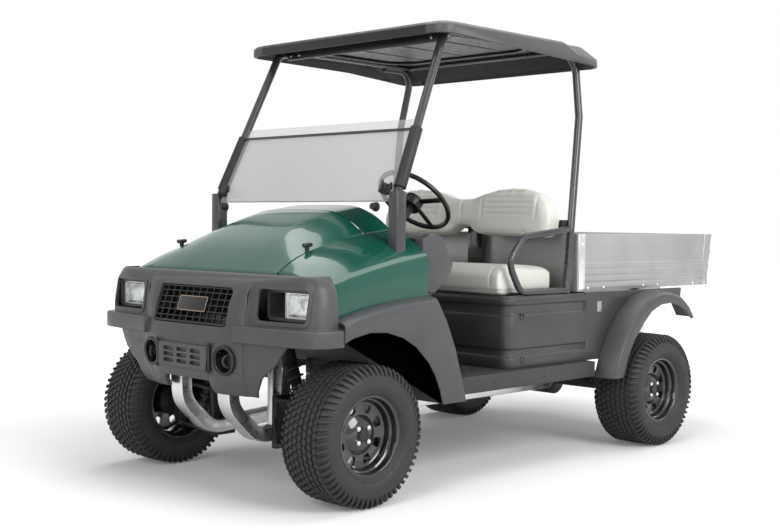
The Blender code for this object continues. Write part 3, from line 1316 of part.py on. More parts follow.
def rear_strut(name, side, material):
    """A round strut that bends forward under the canopy, with the hip restraint loop at its foot."""
    foot_x, foot_aft = rear_strut_at(POD_HEIGHT)
    mid = between(POD_HEIGHT, CANOPY_LOW, 0.75)
    mid_x, mid_aft = rear_strut_at(mid)
    top_x, _ = rear_strut_at(CANOPY_LOW)
    _, corner_aft = rear_strut_at(STRUT_LEVEL)
    foot_up = POD_HEIGHT + SEAT_GAP * 7
    route = [place(side * foot_x, foot_aft, foot_up), place(side * mid_x, mid_aft, mid),
             place(side * top_x, corner_aft, STRUT_LEVEL), place(side * top_x, corner_aft - REAR_STRUT_TAIL, STRUT_LEVEL)]
    parts = [tube(bend(route, REAR_STRUT_BEND), STRUT_RADIUS, 12, (1, 0, 0)), hip_loop(side, foot_x, foot_aft)]
    return combine(name, material, parts)


def roof_frame(material):
    """Two side rails between the struts and two bows across, under the canopy."""
    level = CANOPY_HEIGHT - CANOPY_WALL - SEAT_GAP - BOW_RADIUS
    x = STRUT_TOP_SPREAD - STRUT_RADIUS * 1.2 - SEAT_GAP - BOW_RADIUS
    _, front_corner = front_strut_at(CANOPY_LOW)
    _, rear_corner = rear_strut_at(CANOPY_LOW)
    front = front_corner + STRUT_RADIUS * 2.4
    rear = rear_corner - STRUT_RADIUS * 1.8
    parts = [tube([place(side * x, front, level), place(side * x, rear, level)], BOW_RADIUS, 12) for side in (-1, 1)]
    for aft in (front + BOW_RADIUS * 2.4, rear - BOW_RADIUS * 2.4):
        parts.append(tube([place(-x, aft, level), place(x, aft, level)], BOW_RADIUS * 0.9, 12))
    return combine("roof_frame", material, parts)


def canopy_outline(inset):
    """Plan of the canopy: round corners, and points down the sides where the skirt changes."""
    half = CANOPY_HALF_WIDTH - inset
    front = CANOPY_FRONT + inset
    rear = CANOPY_REAR - inset
    corners = rounded((-half, front), (half, rear), CANOPY_CORNER, 4)
    stations = [between(front + CANOPY_CORNER, rear - CANOPY_CORNER, share) for share in CANOPY_SIDE_SHARES]
    left = [(-half, aft) for aft in reversed(stations)]
    right = [(half, aft) for aft in stations]
    return corners[:10] + left + corners[10:] + right


def canopy_ring(inset, up, fall_shares, fall):
    ring = []
    for x, aft in canopy_outline(inset):
        share = (aft - CANOPY_FRONT) / (CANOPY_REAR - CANOPY_FRONT)
        ring.append(place(x, aft, up - fall * follow(fall_shares, share)))
    return ring


def canopy(material):
    """A moulded roof: a crowned top, a skirt that deepens to the rear and an open, raised underside."""
    wall = CANOPY_WALL
    flat = CANOPY_CORNER * 0.8
    level_shares = ((0, 0), (1, 0))
    shell = loft([
        canopy_ring(0, CANOPY_LOW, CANOPY_SKIRT_SHARES, CANOPY_SKIRT_FALL),
        canopy_ring(0, CANOPY_HEIGHT - CANOPY_ROUND, CANOPY_LIP_SHARES, CANOPY_LIP_DROP),
        canopy_ring(CANOPY_ROUND, CANOPY_HEIGHT, CANOPY_LIP_SHARES, CANOPY_LIP_DROP),
        canopy_ring(flat, CANOPY_HEIGHT, level_shares, 0),
        canopy_ring(CANOPY_HALF_WIDTH * 0.35, CANOPY_HEIGHT + CANOPY_CROWN, level_shares, 0),
    ])
    hollow = loft([
        canopy_ring(wall, CANOPY_LOW - OVERRUN, CANOPY_SKIRT_SHARES, CANOPY_SKIRT_FALL),
        canopy_ring(wall, CANOPY_HEIGHT - CANOPY_ROUND - wall, CANOPY_LIP_SHARES, CANOPY_LIP_DROP),
        canopy_ring(flat, CANOPY_HEIGHT - wall, level_shares, 0),
    ])
    return combine("canopy", material, [shell], [hollow])


# Windshield
def pane(name, low, high, ahead, material):
    """A flat clear pane between the front struts, square to their lean."""
    rings = []
    for up in (low, high):
        x, aft = front_strut_at(up)
        reach = min(x - SLEEVE_RADIUS, STRUT_SPREAD - POST_WIDTH / 2) - SEAT_GAP
        near = aft - ahead - PANE_GAUGE / 2
        far = near + PANE_GAUGE
        rings.append([place(-reach, near, up), place(reach, near, up), place(reach, far, up), place(-reach, far, up)])
    return mesh_object(name, loft(rings), material)


def windshield_seal(name, side, material):
    """Rubber sleeve round the strut that the panes are clipped to."""
    ends = []
    for up in (KNEE_HEIGHT + STRUT_RADIUS + RUN_GAP * 2, PANE_HINGE):
        x, aft = front_strut_at(up)
        ends.append(place(side * x, aft, up))
    foot, head = ends
    run = head - foot
    bore = tube([foot - run * 0.1, head + run * 0.1], STRUT_RADIUS + SEAT_GAP * 2, 12, (1, 0, 0))
    return combine(name, material, [tube([foot, head], SLEEVE_RADIUS - SEAT_GAP, 16, (1, 0, 0))], [bore])


# Load bed
def bed_side(side):
    """One side wall with its rolled rim, the ribs along its lower half and the posts at its ends."""
    half = side * BED_HALF_WIDTH
    rear = BED_END
    wall = BED_WALL
    outline = [(BED_FRONT, BED_FLOOR), (rear - BED_LEAN, BED_FLOOR), (rear, BED_TOP), (BED_FRONT, BED_TOP)]
    parts = [prism(outline, "x", half - side * wall, half)]
    rim = [(BED_FRONT, BED_TOP - wall), (rear - BED_LEAN * 0.05, BED_TOP - wall), (rear, BED_TOP), (BED_FRONT, BED_TOP)]
    parts.append(prism(rim, "x", half - side * BED_RIM, half))
    outer = half + side * BED_RIB
    for low_share, high_share in BED_RIB_SHARES:
        low = between(BED_FLOOR, BED_TOP, low_share)
        high = between(BED_FLOOR, BED_TOP, high_share)
        near = BED_FRONT + BED_POST / 2
        parts.append(box((half - side * wall / 2, near, low), (outer, rear - BED_LEAN - BED_POST / 2, high)))
    outer = half + side * BED_RIB * 1.6
    parts.append(box((half - side * wall / 2, BED_FRONT, BED_FLOOR), (outer, BED_FRONT + BED_POST, BED_TOP)))
    leaning = [(rear - BED_LEAN - BED_POST, BED_FLOOR), (rear - BED_LEAN, BED_FLOOR), (rear, BED_TOP), (rear - BED_POST, BED_TOP)]
    parts.append(prism(leaning, "x", half - side * wall / 2, outer))
    return parts


def bed_channel(side):
    """One channel under the floor, with the ear that turns on the hinge pin."""
    near = side * (CHANNEL_OFFSET - CHANNEL_WIDTH / 2)
    far = side * (CHANNEL_OFFSET + CHANNEL_WIDTH / 2)
    ear = PIN_RADIUS * 2.2
    channel = box((near, POD_REAR + RUN_GAP * 2, BED_FLOOR - CHANNEL_DEPTH), (far, BED_END - BED_LEAN - OVERRUN, BED_FLOOR + BED_PLATE / 3))
    plate = box((near, BED_HINGE_AFT - ear, BED_HINGE_UP - PIN_RADIUS * 2), (far, BED_HINGE_AFT + ear, BED_FLOOR - BED_PLATE / 3))
    return [channel, plate]


def bed(material):
    """Aluminium tipping bed: floor, front and side walls with a rolled rim, and two channels with hinge ears."""
    half = BED_HALF_WIDTH
    parts = [box((-half, BED_FRONT, BED_FLOOR), (half, BED_END - BED_LEAN, BED_FLOOR + BED_PLATE))]
    parts.append(box((-half, BED_FRONT, BED_FLOOR), (half, BED_FRONT + BED_WALL, BED_TOP)))
    parts.append(box((-half, BED_FRONT, BED_TOP - BED_WALL), (half, BED_FRONT + BED_RIM, BED_TOP)))
    for side in (-1, 1):
        parts += bed_side(side) + bed_channel(side)
    bore = tube([place(-half, BED_HINGE_AFT, BED_HINGE_UP), place(half, BED_HINGE_AFT, BED_HINGE_UP)],
                PIN_RADIUS + PIN_GAP, 20)
    made = combine("bed", material, parts, [bore])
    pivot(made, place(0, BED_HINGE_AFT, BED_HINGE_UP))
    return made


def tailgate(material):
    """Ribbed tailgate that closes the bed's leaning rear end, hinged at its lower rear edge."""
    outline = []
    for depth, up in TAILGATE_RIB_SHARES:
        rear = BED_REAR - BED_LEAN * (1 - up)
        outline.append((rear - TAILGATE_GAUGE * (1 - depth), between(BED_FLOOR, BED_TOP, up)))
    made = combine("tailgate", material, [prism(outline, "x", -BED_HALF_WIDTH, BED_HALF_WIDTH)])
    pivot(made, place(0, BED_REAR - BED_LEAN, BED_FLOOR))
    return made


def build():
    for old in list(bpy.data.objects):
        bpy.data.objects.remove(old)
    plastic = finish("moulded plastic", (0.105, 0.108, 0.115), 0.62)
    green = finish("green paint", (0.008, 0.085, 0.055), 0.18)
    steel = finish("painted tube", (0.060, 0.062, 0.070), 0.35)
    black = finish("black steel", (0.012, 0.012, 0.013), 0.25)
    rubber = finish("rubber", (0.020, 0.020, 0.020), 0.85)
    alloy = finish("bed aluminium", (0.60, 0.61, 0.60), 0.38, 1.0)
    bright = finish("frame aluminium", (0.72, 0.72, 0.72), 0.30, 1.0)
    vinyl = finish("seat vinyl", (0.50, 0.50, 0.47), 0.55)
    clear = finish("clear acrylic", (0.75, 0.78, 0.78), 0.05)
    lamp = finish("lamp", (0.80, 0.82, 0.84), 0.10)

    frame(bright)
    engine(black)
    rear_axle(black)
    floorboard(plastic)
    hood(green)
    front_body(green)
    fascia(plastic)
    grille(black)
    bumper_plate(plastic)
    dash(plastic)
    steering_wheel(black)
    steering_column(black)
    pedals(black)
    seat_pod(plastic)
    seat_bottom(vinyl)
    seat_back(vinyl)
    seat_back_bracket(black)
    roof_frame(steel)
    canopy(plastic)
    pane("windshield_lower", PANE_LOW, PANE_HINGE, 0, clear)
    pane("windshield_upper", PANE_LOW + RUN_GAP, PANE_HINGE + PANE_FOLD, PANE_GAUGE + SEAT_GAP * 2, clear)
    bed(alloy)
    tailgate(alloy)
    for side, word in ((1, "left"), (-1, "right")):
        tyre("tyre_front_" + word, side, FRONT_TRACK, 0, rubber)
        tyre("tyre_rear_" + word, side, REAR_TRACK, WHEELBASE, rubber)
        rim("rim_front_" + word, side, FRONT_TRACK, 0, black)
        rim("rim_rear_" + word, side, REAR_TRACK, WHEELBASE, black)
        knuckle("knuckle_" + word, side, black)
        front_suspension("front_suspension_" + word, side, black)
        headlamp("headlamp_" + word, side, lamp)
        front_flare("front_flare_" + word, side, plastic)
        rear_flare("rear_flare_" + word, side, plastic)
        front_strut("strut_front_" + word, side, steel)
        rear_strut("strut_rear_" + word, side, steel)
        windshield_seal("windshield_seal_" + word, side, rubber)


build()
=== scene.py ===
# Looks of a utility vehicle with an open cab, a moulded canopy and a tipping bed.
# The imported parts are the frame. They get their finishes here, and finer pieces stand for some of them.
import json
import math

import bmesh
import bpy
from mathutils import Matrix, Vector

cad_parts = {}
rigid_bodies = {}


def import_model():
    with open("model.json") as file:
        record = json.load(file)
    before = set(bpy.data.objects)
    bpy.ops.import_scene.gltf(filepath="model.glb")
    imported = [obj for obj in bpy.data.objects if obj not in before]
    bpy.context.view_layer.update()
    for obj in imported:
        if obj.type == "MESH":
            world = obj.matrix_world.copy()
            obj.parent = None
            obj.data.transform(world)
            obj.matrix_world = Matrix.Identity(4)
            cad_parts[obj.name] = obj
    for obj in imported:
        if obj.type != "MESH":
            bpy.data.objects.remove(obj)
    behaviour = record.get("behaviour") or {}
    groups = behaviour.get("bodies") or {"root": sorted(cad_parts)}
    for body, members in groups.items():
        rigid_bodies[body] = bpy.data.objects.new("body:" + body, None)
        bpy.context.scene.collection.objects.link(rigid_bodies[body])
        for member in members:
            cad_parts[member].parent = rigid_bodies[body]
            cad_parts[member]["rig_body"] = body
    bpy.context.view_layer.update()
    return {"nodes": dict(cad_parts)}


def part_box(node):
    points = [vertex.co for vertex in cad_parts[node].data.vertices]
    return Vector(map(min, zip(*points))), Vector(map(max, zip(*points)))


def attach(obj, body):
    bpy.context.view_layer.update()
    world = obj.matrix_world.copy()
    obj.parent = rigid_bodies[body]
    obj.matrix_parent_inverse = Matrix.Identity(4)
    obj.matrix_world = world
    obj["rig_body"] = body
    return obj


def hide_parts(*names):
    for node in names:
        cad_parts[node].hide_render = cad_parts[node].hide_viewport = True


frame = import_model()
nodes = frame["nodes"]
sides = {"left": 1, "right": -1}
print("frame: loaded", len(nodes), "parts")


# Shader sums: a wire is one socket, and each operator adds its Math node
class Wire:
    def __init__(self, finish, socket):
        self.finish = finish
        self.socket = socket

    def calc(self, operation, first, second):
        return self.finish.node("ShaderNodeMath", {"operation": operation}, {0: first, 1: second})

    def __add__(self, other):
        return self.calc("ADD", self, other)

    def __mul__(self, other):
        return self.calc("MULTIPLY", self, other)

    def __gt__(self, other):
        return self.calc("GREATER_THAN", self, other)

    def __lt__(self, other):
        return self.calc("LESS_THAN", self, other)

    __radd__ = __add__
    __rmul__ = __mul__


class Finish:
    # A material on a Principled shader, built by calls that each return a wire
    def __init__(self, name, colour, roughness, **sockets):
        self.material = bpy.data.materials.new(name)
        self.material.use_nodes = True
        self.tree = self.material.node_tree
        self.shader = self.tree.nodes["Principled BSDF"]
        self.set(Base_Color=colour, Roughness=roughness, **sockets)

    def set(self, **sockets):
        for key, value in sockets.items():
            self.feed(self.shader.inputs[key.replace("_", " ")], value)

    def feed(self, socket, value):
        if isinstance(value, Wire):
            self.tree.links.new(value.socket, socket)
        elif hasattr(value, "__len__") and len(value) == 3 and socket.type == "RGBA":
            socket.default_value = (*value, 1)
        else:
            socket.default_value = value

    def node(self, kind, settings=None, inputs=None, output=0):
        made = self.tree.nodes.new(kind)
        for key, value in (settings or {}).items():
            if key == "stops":
                for stop, (place, colour) in zip(made.color_ramp.elements, value):
                    stop.position = place
                    stop.color = (*colour, 1)
            else:
                setattr(made, key, value)
        for key, value in (inputs or {}).items():
            self.feed(made.inputs[key], value)
        return Wire(self, made.outputs[output])

    def spot(self, stretch=(1, 1, 1)):
        where = self.node("ShaderNodeTexCoord", output=3)
        return self.node("ShaderNodeMapping", None, {0: where, 3: stretch})

    def axis(self, letter):
        where = self.node("ShaderNodeTexCoord", output=3)
        return self.node("ShaderNodeSeparateXYZ", None, {0: where}, "XYZ".index(letter))

    def noise(self, scale, detail=3, stretch=(1, 1, 1), rough=0.5):
        return self.node("ShaderNodeTexNoise", None,
                         {"Vector": self.spot(stretch), "Scale": scale, "Detail": detail, "Roughness": rough})

    def pebbles(self, scale):
        return self.node("ShaderNodeTexVoronoi", {"feature": "SMOOTH_F1"},
                         {"Vector": self.spot(), "Scale": scale})

    def ramp(self, value, *stops):
        return self.node("ShaderNodeValToRGB", {"stops": stops}, {0: value})

    def fade(self, value, low, high, start=0.0, end=1.0):
        return self.node("ShaderNodeMapRange", None, {0: value, 1: low, 2: high, 3: start, 4: end})

    def worn(self, value, level, down, up):
        # A level that wanders with a noise
        return self.fade(value, 0.3, 0.7, level - down, level + up)

    def mix(self, mask, first, second):
        return self.node("ShaderNodeMix", {"data_type": "RGBA"}, {0: mask, 6: first, 7: second}, 2)

    def bump(self, height, depth, strength):
        inputs = {"Strength": strength, "Distance": depth, "Height": height}
        self.set(Normal=self.node("ShaderNodeBump", None, inputs))


# Finishes
def toned(colour, share):
    return tuple(min(value * share, 1) for value in colour)


def greenLacquer():
    finish = Finish("greenLacquer", (0.004, 0.066, 0.046), 0.22, Coat_Weight=0.55, Coat_Roughness=0.03,
                    Specular_IOR_Level=0.25)
    cloud = finish.noise(3.0, 2)
    tone = finish.mix(cloud, (0.0035, 0.060, 0.041), (0.005, 0.074, 0.052))
    dust = finish.noise(900, 2)
    finish.set(Base_Color=finish.mix(dust > 0.66, tone, (0.006, 0.085, 0.06)),
               Roughness=finish.fade(cloud, 0.3, 0.7, 0.18, 0.26))
    finish.bump(finish.noise(260, 2), 0.00003, 0.5)
    return finish


def grainedPlastic(name, colour, roughness, grain=0.00012):
    # Moulded plastic with a fine pebble grain, faint cloudiness and pale scuffs
    finish = Finish(name, colour, roughness, Specular_IOR_Level=0.38)
    tone = finish.mix(finish.noise(6, 4), toned(colour, 0.80), toned(colour, 1.35))
    scuff = finish.fade(finish.noise(70, 5, (1, 1, 0.35), 0.65), 0.60, 0.78, 0, 0.35)
    finish.set(Base_Color=finish.mix(scuff, tone, toned(colour, 1.9)),
               Roughness=finish.worn(finish.noise(30, 3), roughness, 0.06, 0.08))
    finish.bump(finish.pebbles(1100), grain, 0.6)
    return finish


patches = {
    "paint": {  # powder coat: satin with a slight orange peel
        "shader": {"Coat_Weight": 0.15, "Coat_Roughness": 0.25}, "cloud": (9, 3), "tones": (0.85, 1.2),
        "wear": (40, 3), "spread": (0.05, 0.07), "relief": (700, 2), "depth": 0.00006, "strength": 0.6,
    },
    "rubber": {
        "shader": {"Specular_IOR_Level": 0.35}, "cloud": (22, 5, (1, 1, 1), 0.62), "tones": (0.7, 1.7),
        "wear": (60, 4), "spread": (0.08, 0.06), "relief": (500, 4), "depth": 0.00015, "strength": 0.6,
    },
    "metal": {  # drawn or cast aluminium: soft clouds with no lines
        "shader": {"Metallic": 1.0}, "cloud": (7, 4), "tones": (0.80, 1.15),
        "wear": (25, 4), "spread": (0.07, 0.10), "relief": (240, 3), "depth": 0.00008, "strength": 0.5,
    },
    "cast": {
        "shader": {"Metallic": 0.55}, "cloud": (20, 4), "tones": (0.7, 1.5),
        "wear": (160, 4), "spread": (0.1, 0.15), "relief": (160, 4), "depth": 0.0003, "strength": 0.5,
    },
}


def patchy(kind, name, colour, roughness):
    # Clouds of tone, patches of wear and a fine relief
    plan = patches[kind]
    finish = Finish(name, colour, roughness, **plan["shader"])
    low, high = plan["tones"]
    finish.set(Base_Color=finish.mix(finish.noise(*plan["cloud"]), toned(colour, low), toned(colour, high)),
               Roughness=finish.worn(finish.noise(*plan["wear"]), roughness, *plan["spread"]))
    finish.bump(finish.noise(*plan["relief"]), plan["depth"], plan["strength"])
    return finish


def brushedMetal(name, colour, roughness, grainWay, scratch=0.00005, metallic=1.0):
    # Rolled metal: long fine lines along the way it was rolled, and a few blotches
    finish = Finish(name, colour, roughness, Metallic=metallic)
    lines = finish.noise(1.0, 4, tuple(4 if axis == grainWay else 420 for axis in "XYZ"), 0.6)
    blotch = finish.fade(finish.noise(5, 4), 0.45, 0.75, 0, 0.5)
    tone = finish.mix(lines, toned(colour, 0.78), toned(colour, 1.12))
    finish.set(Base_Color=finish.mix(blotch, tone, toned(colour, 0.72)),
               Roughness=finish.worn(lines, roughness, 0.08, 0.12))
    finish.bump(lines, scratch, 0.4)
    return finish


def blackGloss(name, roughness):
    finish = Finish(name, (0.010, 0.010, 0.011), roughness, Coat_Weight=0.5, Coat_Roughness=0.08)
    cloud = finish.noise(14, 4)
    finish.set(Base_Color=finish.mix(cloud, (0.007, 0.007, 0.008), (0.016, 0.016, 0.017)),
               Roughness=finish.worn(cloud, roughness, 0.05, 0.10))
    finish.bump(finish.noise(300, 2), 0.00004, 0.5)
    return finish


def seatVinyl():
    finish = Finish("seatVinyl", (0.66, 0.655, 0.61), 0.46, Sheen_Weight=0.08)
    cloud = finish.noise(5, 4)
    finish.set(Base_Color=finish.mix(cloud, (0.60, 0.595, 0.555), (0.71, 0.705, 0.66)),
               Roughness=finish.fade(cloud, 0.3, 0.7, 0.42, 0.54))
    finish.bump(finish.pebbles(900), 0.00018, 0.6)
    return finish


def tintedAcrylic():
    finish = Finish("tintedAcrylic", (0.52, 0.52, 0.51), 0.05, Specular_IOR_Level=0.5)
    haze = finish.noise(1.6, 1)
    finish.set(Base_Color=finish.mix(haze, (0.50, 0.50, 0.49), (0.55, 0.55, 0.54)),
               Alpha=finish.fade(haze, 0.2, 0.8, 0.26, 0.31),
               Roughness=finish.fade(haze, 0.3, 0.7, 0.04, 0.07))
    return finish


def canopyWithPaintedShade():
    # The underside between the rims and the inner walls under the roof get a near-black painted shade, darker
    # than the moulded outside
    finish = grainedPlastic("canopyPlastic", (0.060, 0.061, 0.065), 0.42, 0.0002)
    across, along, height = (finish.axis(letter) for letter in "XYZ")
    facing = finish.node("ShaderNodeSeparateXYZ", None, {0: finish.node("ShaderNodeTexCoord", output=1)}, 2)
    within = (across < 0.60) * (across > -0.60) * (along > -0.72) * (along < 0.90)
    # painted shade mask: faces that look down, and the inner walls below the roof line
    inside = within * (((facing < -0.3) + (height < 1.9865) * (across < 0.545) * (across > -0.545)) > 0.5)
    outside = finish.shader.inputs["Base Color"].links[0].from_socket
    # near-black painted shade mixed over the moulded colour
    finish.set(Base_Color=finish.mix(inside, Wire(finish, outside), (0.007, 0.007, 0.0075)))
    return finish


def lampLens():
    # Clear moulded lens over a bright bowl: soft upright flutes, and a cloudy glint painted into its colour
    # as patches of painted reflection
    finish = Finish("lampLens", (0.80, 0.82, 0.83), 0.10, Coat_Weight=0.6, Coat_Roughness=0.02)
    flute = finish.node("ShaderNodeTexWave", {"bands_direction": "X"},
                        {"Vector": finish.spot(), "Scale": 60.0, "Distortion": 1.5})
    cloud = finish.noise(24, 3)
    # the bright patches of the colour are painted reflection of the bowl
    finish.set(Base_Color=finish.ramp(cloud, (0.32, (0.34, 0.36, 0.38)), (0.60, (0.86, 0.88, 0.89))),
               Metallic=finish.fade(cloud, 0.35, 0.7, 0.7, 0.1),
               Roughness=finish.fade(cloud, 0.3, 0.7, 0.08, 0.22))
    finish.bump(flute, 0.0012, 0.7)
    return finish


def dress(finish, *names):
    for name in names:
        for slot in nodes[name].material_slots:
            slot.material = finishes[finish].material


def onBothSides(*names):
    return [name + "_" + side for name in names for side in sides]


finishes = {
    "green": greenLacquer(),
    "charcoal": grainedPlastic("charcoalPlastic", (0.052, 0.053, 0.057), 0.40),
    "pod": grainedPlastic("podPlastic", (0.040, 0.041, 0.044), 0.37),
    "canopy": canopyWithPaintedShade(),
    "black": grainedPlastic("blackPlastic", (0.005, 0.005, 0.0055), 0.34),
    "tube": patchy("paint", "tubePaint", (0.030, 0.031, 0.035), 0.27),
    "steel": blackGloss("blackSteel", 0.15),
    "rubber": patchy("rubber", "tyreRubber", (0.022, 0.022, 0.0225), 0.62),
    "sleeve": patchy("rubber", "sleeveRubber", (0.012, 0.012, 0.012), 0.55),
    "bedMetal": brushedMetal("bedAluminium", (0.38, 0.385, 0.38), 0.36, "Y", 0.00005, 0.6),
    "railMetal": patchy("metal", "railAluminium", (0.62, 0.62, 0.62), 0.30),
    "vinyl": seatVinyl(),
    "acrylic": tintedAcrylic(),
    "cast": patchy("cast", "darkCast", (0.030, 0.030, 0.032), 0.5),
    "satinBlack": grainedPlastic("satinBlack", (0.010, 0.010, 0.011), 0.34, 0.00006),
    "floor": grainedPlastic("floorPlastic", (0.030, 0.031, 0.033), 0.5),
    "chrome": brushedMetal("zincPlate", (0.80, 0.80, 0.78), 0.20, "X", 0.00002),
    "springPaint": patchy("paint", "springPaint", (0.020, 0.020, 0.022), 0.32),
    "bronze": brushedMetal("bronzeRim", (0.42, 0.33, 0.24), 0.30, "X", 0.00001),
    "bronzeStrip": patchy("paint", "bronzeStrip", (0.030, 0.026, 0.022), 0.4),
    "lampRim": brushedMetal("lampRim", (0.55, 0.55, 0.55), 0.25, "X", 0.00001),
    "lampGlass": lampLens(),
    "post": patchy("metal", "postAluminium", (0.66, 0.66, 0.65), 0.32),
    "reflector": patchy("paint", "reflectorGrey", (0.30, 0.30, 0.31), 0.25),
}
dress("green", "hood", "front_body")
dress("pod", "seat_pod")
dress("charcoal", "fascia", "dash", "floorboard", "bumper_plate",
      *onBothSides("front_flare", "rear_flare", "headlamp"))
dress("canopy", "canopy")
dress("black", "grille", "pedals", "steering_wheel", "steering_column")
dress("tube", "roof_frame", *onBothSides("strut_front", "strut_rear"))
dress("steel", "seat_back_bracket", *onBothSides("rim_front", "rim_rear"))
dress("rubber", *onBothSides("tyre_front", "tyre_rear"))
dress("sleeve", *onBothSides("windshield_seal"))
dress("bedMetal", "bed", "tailgate")
dress("railMetal", "frame")
dress("vinyl", "seat_bottom", "seat_back")
dress("acrylic", "windshield_lower", "windshield_upper")
dress("cast", "engine", "rear_axle", *onBothSides("knuckle", "front_suspension"))
print("finishes:", len(finishes), "made and given to the parts")


# Modelling helpers
def pick(*chosen):
    bpy.ops.object.select_all(action="DESELECT")
    for piece in chosen:
        piece.select_set(True)
    bpy.context.view_layer.objects.active = chosen[0]
    return chosen[0]


def added(kind, **settings):
    # A primitive at its size and place, with nothing else selected
    bpy.ops.object.select_all(action="DESELECT")
    getattr(bpy.ops.mesh, "primitive_" + kind + "_add")(**settings)
    return bpy.context.object


def modified(piece, kind, **settings):
    pick(piece)
    step = piece.modifiers.new(kind.lower(), kind)
    for key, value in settings.items():
        setattr(step, key, value)
    bpy.ops.object.modifier_apply(modifier=step.name)
    return piece


def bevelled(piece, width, steps=2, corner=30, **settings):
    return modified(piece, "BEVEL", width=width, segments=steps, limit_method="ANGLE",
                    angle_limit=math.radians(corner), **settings)


def edit(piece, part="FACE"):
    pick(piece)
    bpy.ops.object.mode_set(mode="EDIT")
    bpy.ops.mesh.select_mode(type=part)
    bpy.ops.mesh.select_all(action="SELECT")


def endEdit():
    bpy.ops.object.mode_set(mode="OBJECT")


def chooseFaces(piece, test):
    # Leaves edit mode, selects the faces whose middle and normal pass a test, and goes back
    endEdit()
    for part in (piece.data.vertices, piece.data.edges):
        for item in part:
            item.select = False
    for face in piece.data.polygons:
        face.select = bool(test(face.center, face.normal))
    bpy.ops.object.mode_set(mode="EDIT")


def copied(piece, matrix):
    twin = bpy.data.objects.new("twin", piece.data.copy())
    bpy.context.scene.collection.objects.link(twin)
    twin.data.transform(matrix)
    if matrix.determinant() < 0:
        twin.data.flip_normals()
    return twin


def joined(pieces):
    pick(*pieces)
    bpy.ops.object.join()
    return bpy.context.object


def repeated(piece, placings):
    # One mesh of many copies of a small piece
    made = bmesh.new()
    for placing in placings:
        known = len(made.verts)
        made.from_mesh(piece.data)
        made.verts.ensure_lookup_table()
        bmesh.ops.transform(made, matrix=placing, verts=made.verts[known:])
    made.to_mesh(piece.data)
    made.free()
    return piece


def flatten(piece):
    pick(piece)
    bpy.ops.object.transform_apply(location=True, rotation=True, scale=True)
    return piece


def seated(piece, name, body, finish, smooth=35, instead=()):
    # Last step of every new piece: name, place in the mesh, shading, finish, body
    piece.name = name
    piece.data.name = name
    flatten(piece)
    bpy.ops.object.shade_smooth_by_angle(angle=math.radians(smooth))
    piece.data.materials.clear()
    piece.data.materials.append(finishes[finish].material)
    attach(piece, body)
    if instead:
        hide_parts(*instead)
    return piece


def onMap(x, aft, height):
    # A place by its distance behind the front axle and its height above the ground
    return Vector((x, aft - 1.1955, height))


def towards(direction):
    # Turns a piece's Z axis to a direction
    return Vector(direction).to_track_quat("Z", "Y").to_matrix().to_4x4()


def slab(middle, size, bevel=0.0015, steps=2):
    # A block with broken edges
    piece = added("cube", size=1, location=middle, scale=size)
    flatten(piece)
    return modified(piece, "BEVEL", width=bevel, segments=steps)


def twoSlabs(spot, size, bevel):
    x, aft, height = spot
    return [slab(onMap(side * x, aft, height), size, bevel) for side in (-1, 1)]


def rod(start, end, radius, sides=16, bevel=0.0):
    run = Vector(end) - Vector(start)
    piece = added("cylinder", vertices=sides, radius=radius, depth=run.length)
    if bevel:
        bevelled(piece, bevel)
    piece.data.transform(Matrix.Translation((Vector(start) + Vector(end)) / 2) @ towards(run))
    return piece


def bolt(radius, depth):
    # A hexagon head on a washer, standing along Z
    head = added("cylinder", vertices=6, radius=radius, depth=depth, location=(0, 0, depth / 2))
    flatten(head)
    modified(head, "BEVEL", width=depth * 0.15, segments=1)
    washer = added("cylinder", vertices=16, radius=radius * 1.35, depth=depth * 0.3,
                   location=(0, 0, depth * 0.1))
    flatten(washer)
    return joined([head, washer])


def rivet(radius):
    # A low domed head along Z
    head = added("cylinder", vertices=12, radius=radius, depth=radius * 0.4)
    edit(head)
    chooseFaces(head, lambda middle, normal: normal.z > 0.9)
    for inset, rise in ((0.28, 0.22), (0.34, 0.10)):
        bpy.ops.mesh.inset(thickness=radius * inset)
        bpy.ops.transform.translate(value=(0, 0, radius * rise))
    endEdit()
    return head


def fixedTo(kind, spots, direction):
    turn = towards(direction)
    return repeated(kind, [Matrix.Translation(spot) @ turn for spot in spots])


def ring(halfWide, halfTall, corner, band, thick):
    # A flat rounded frame in the XY plane
    piece = added("plane", size=1)
    piece.data.transform(Matrix.Diagonal((halfWide * 2, halfTall * 2, 1, 1)))
    edit(piece, "VERT")
    bpy.ops.mesh.bevel(offset=corner, segments=6, affect="VERTICES")
    bpy.ops.mesh.select_mode(type="FACE")
    bpy.ops.mesh.select_all(action="SELECT")
    bpy.ops.mesh.inset(thickness=band)
    bpy.ops.mesh.delete(type="FACE")
    endEdit()
    modified(piece, "SOLIDIFY", thickness=thick)
    return bevelled(piece, thick * 0.3, 2, 50)


def merged(name, flatAngle=0.4):
    piece = bpy.data.objects.new(name + "Fine", nodes[name].data.copy())
    bpy.context.scene.collection.objects.link(piece)
    edit(piece)
    bpy.ops.mesh.remove_doubles(threshold=0.00003)
    if flatAngle:
        bpy.ops.mesh.dissolve_limited(angle_limit=math.radians(flatAngle))
    endEdit()
    return piece


def takeOver(piece, name, finish, smooth):
    return seated(piece, name + "Fine", nodes[name]["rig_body"], finish, smooth, [name])


def rounded(name, finish, width, steps, corner, smooth):
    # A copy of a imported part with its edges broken
    piece = merged(name, 0) if width is None else merged(name)
    if width:
        bevelled(piece, width, steps, corner, use_clamp_overlap=False, miter_outer="MITER_ARC")
    return takeOver(piece, name, finish, smooth)


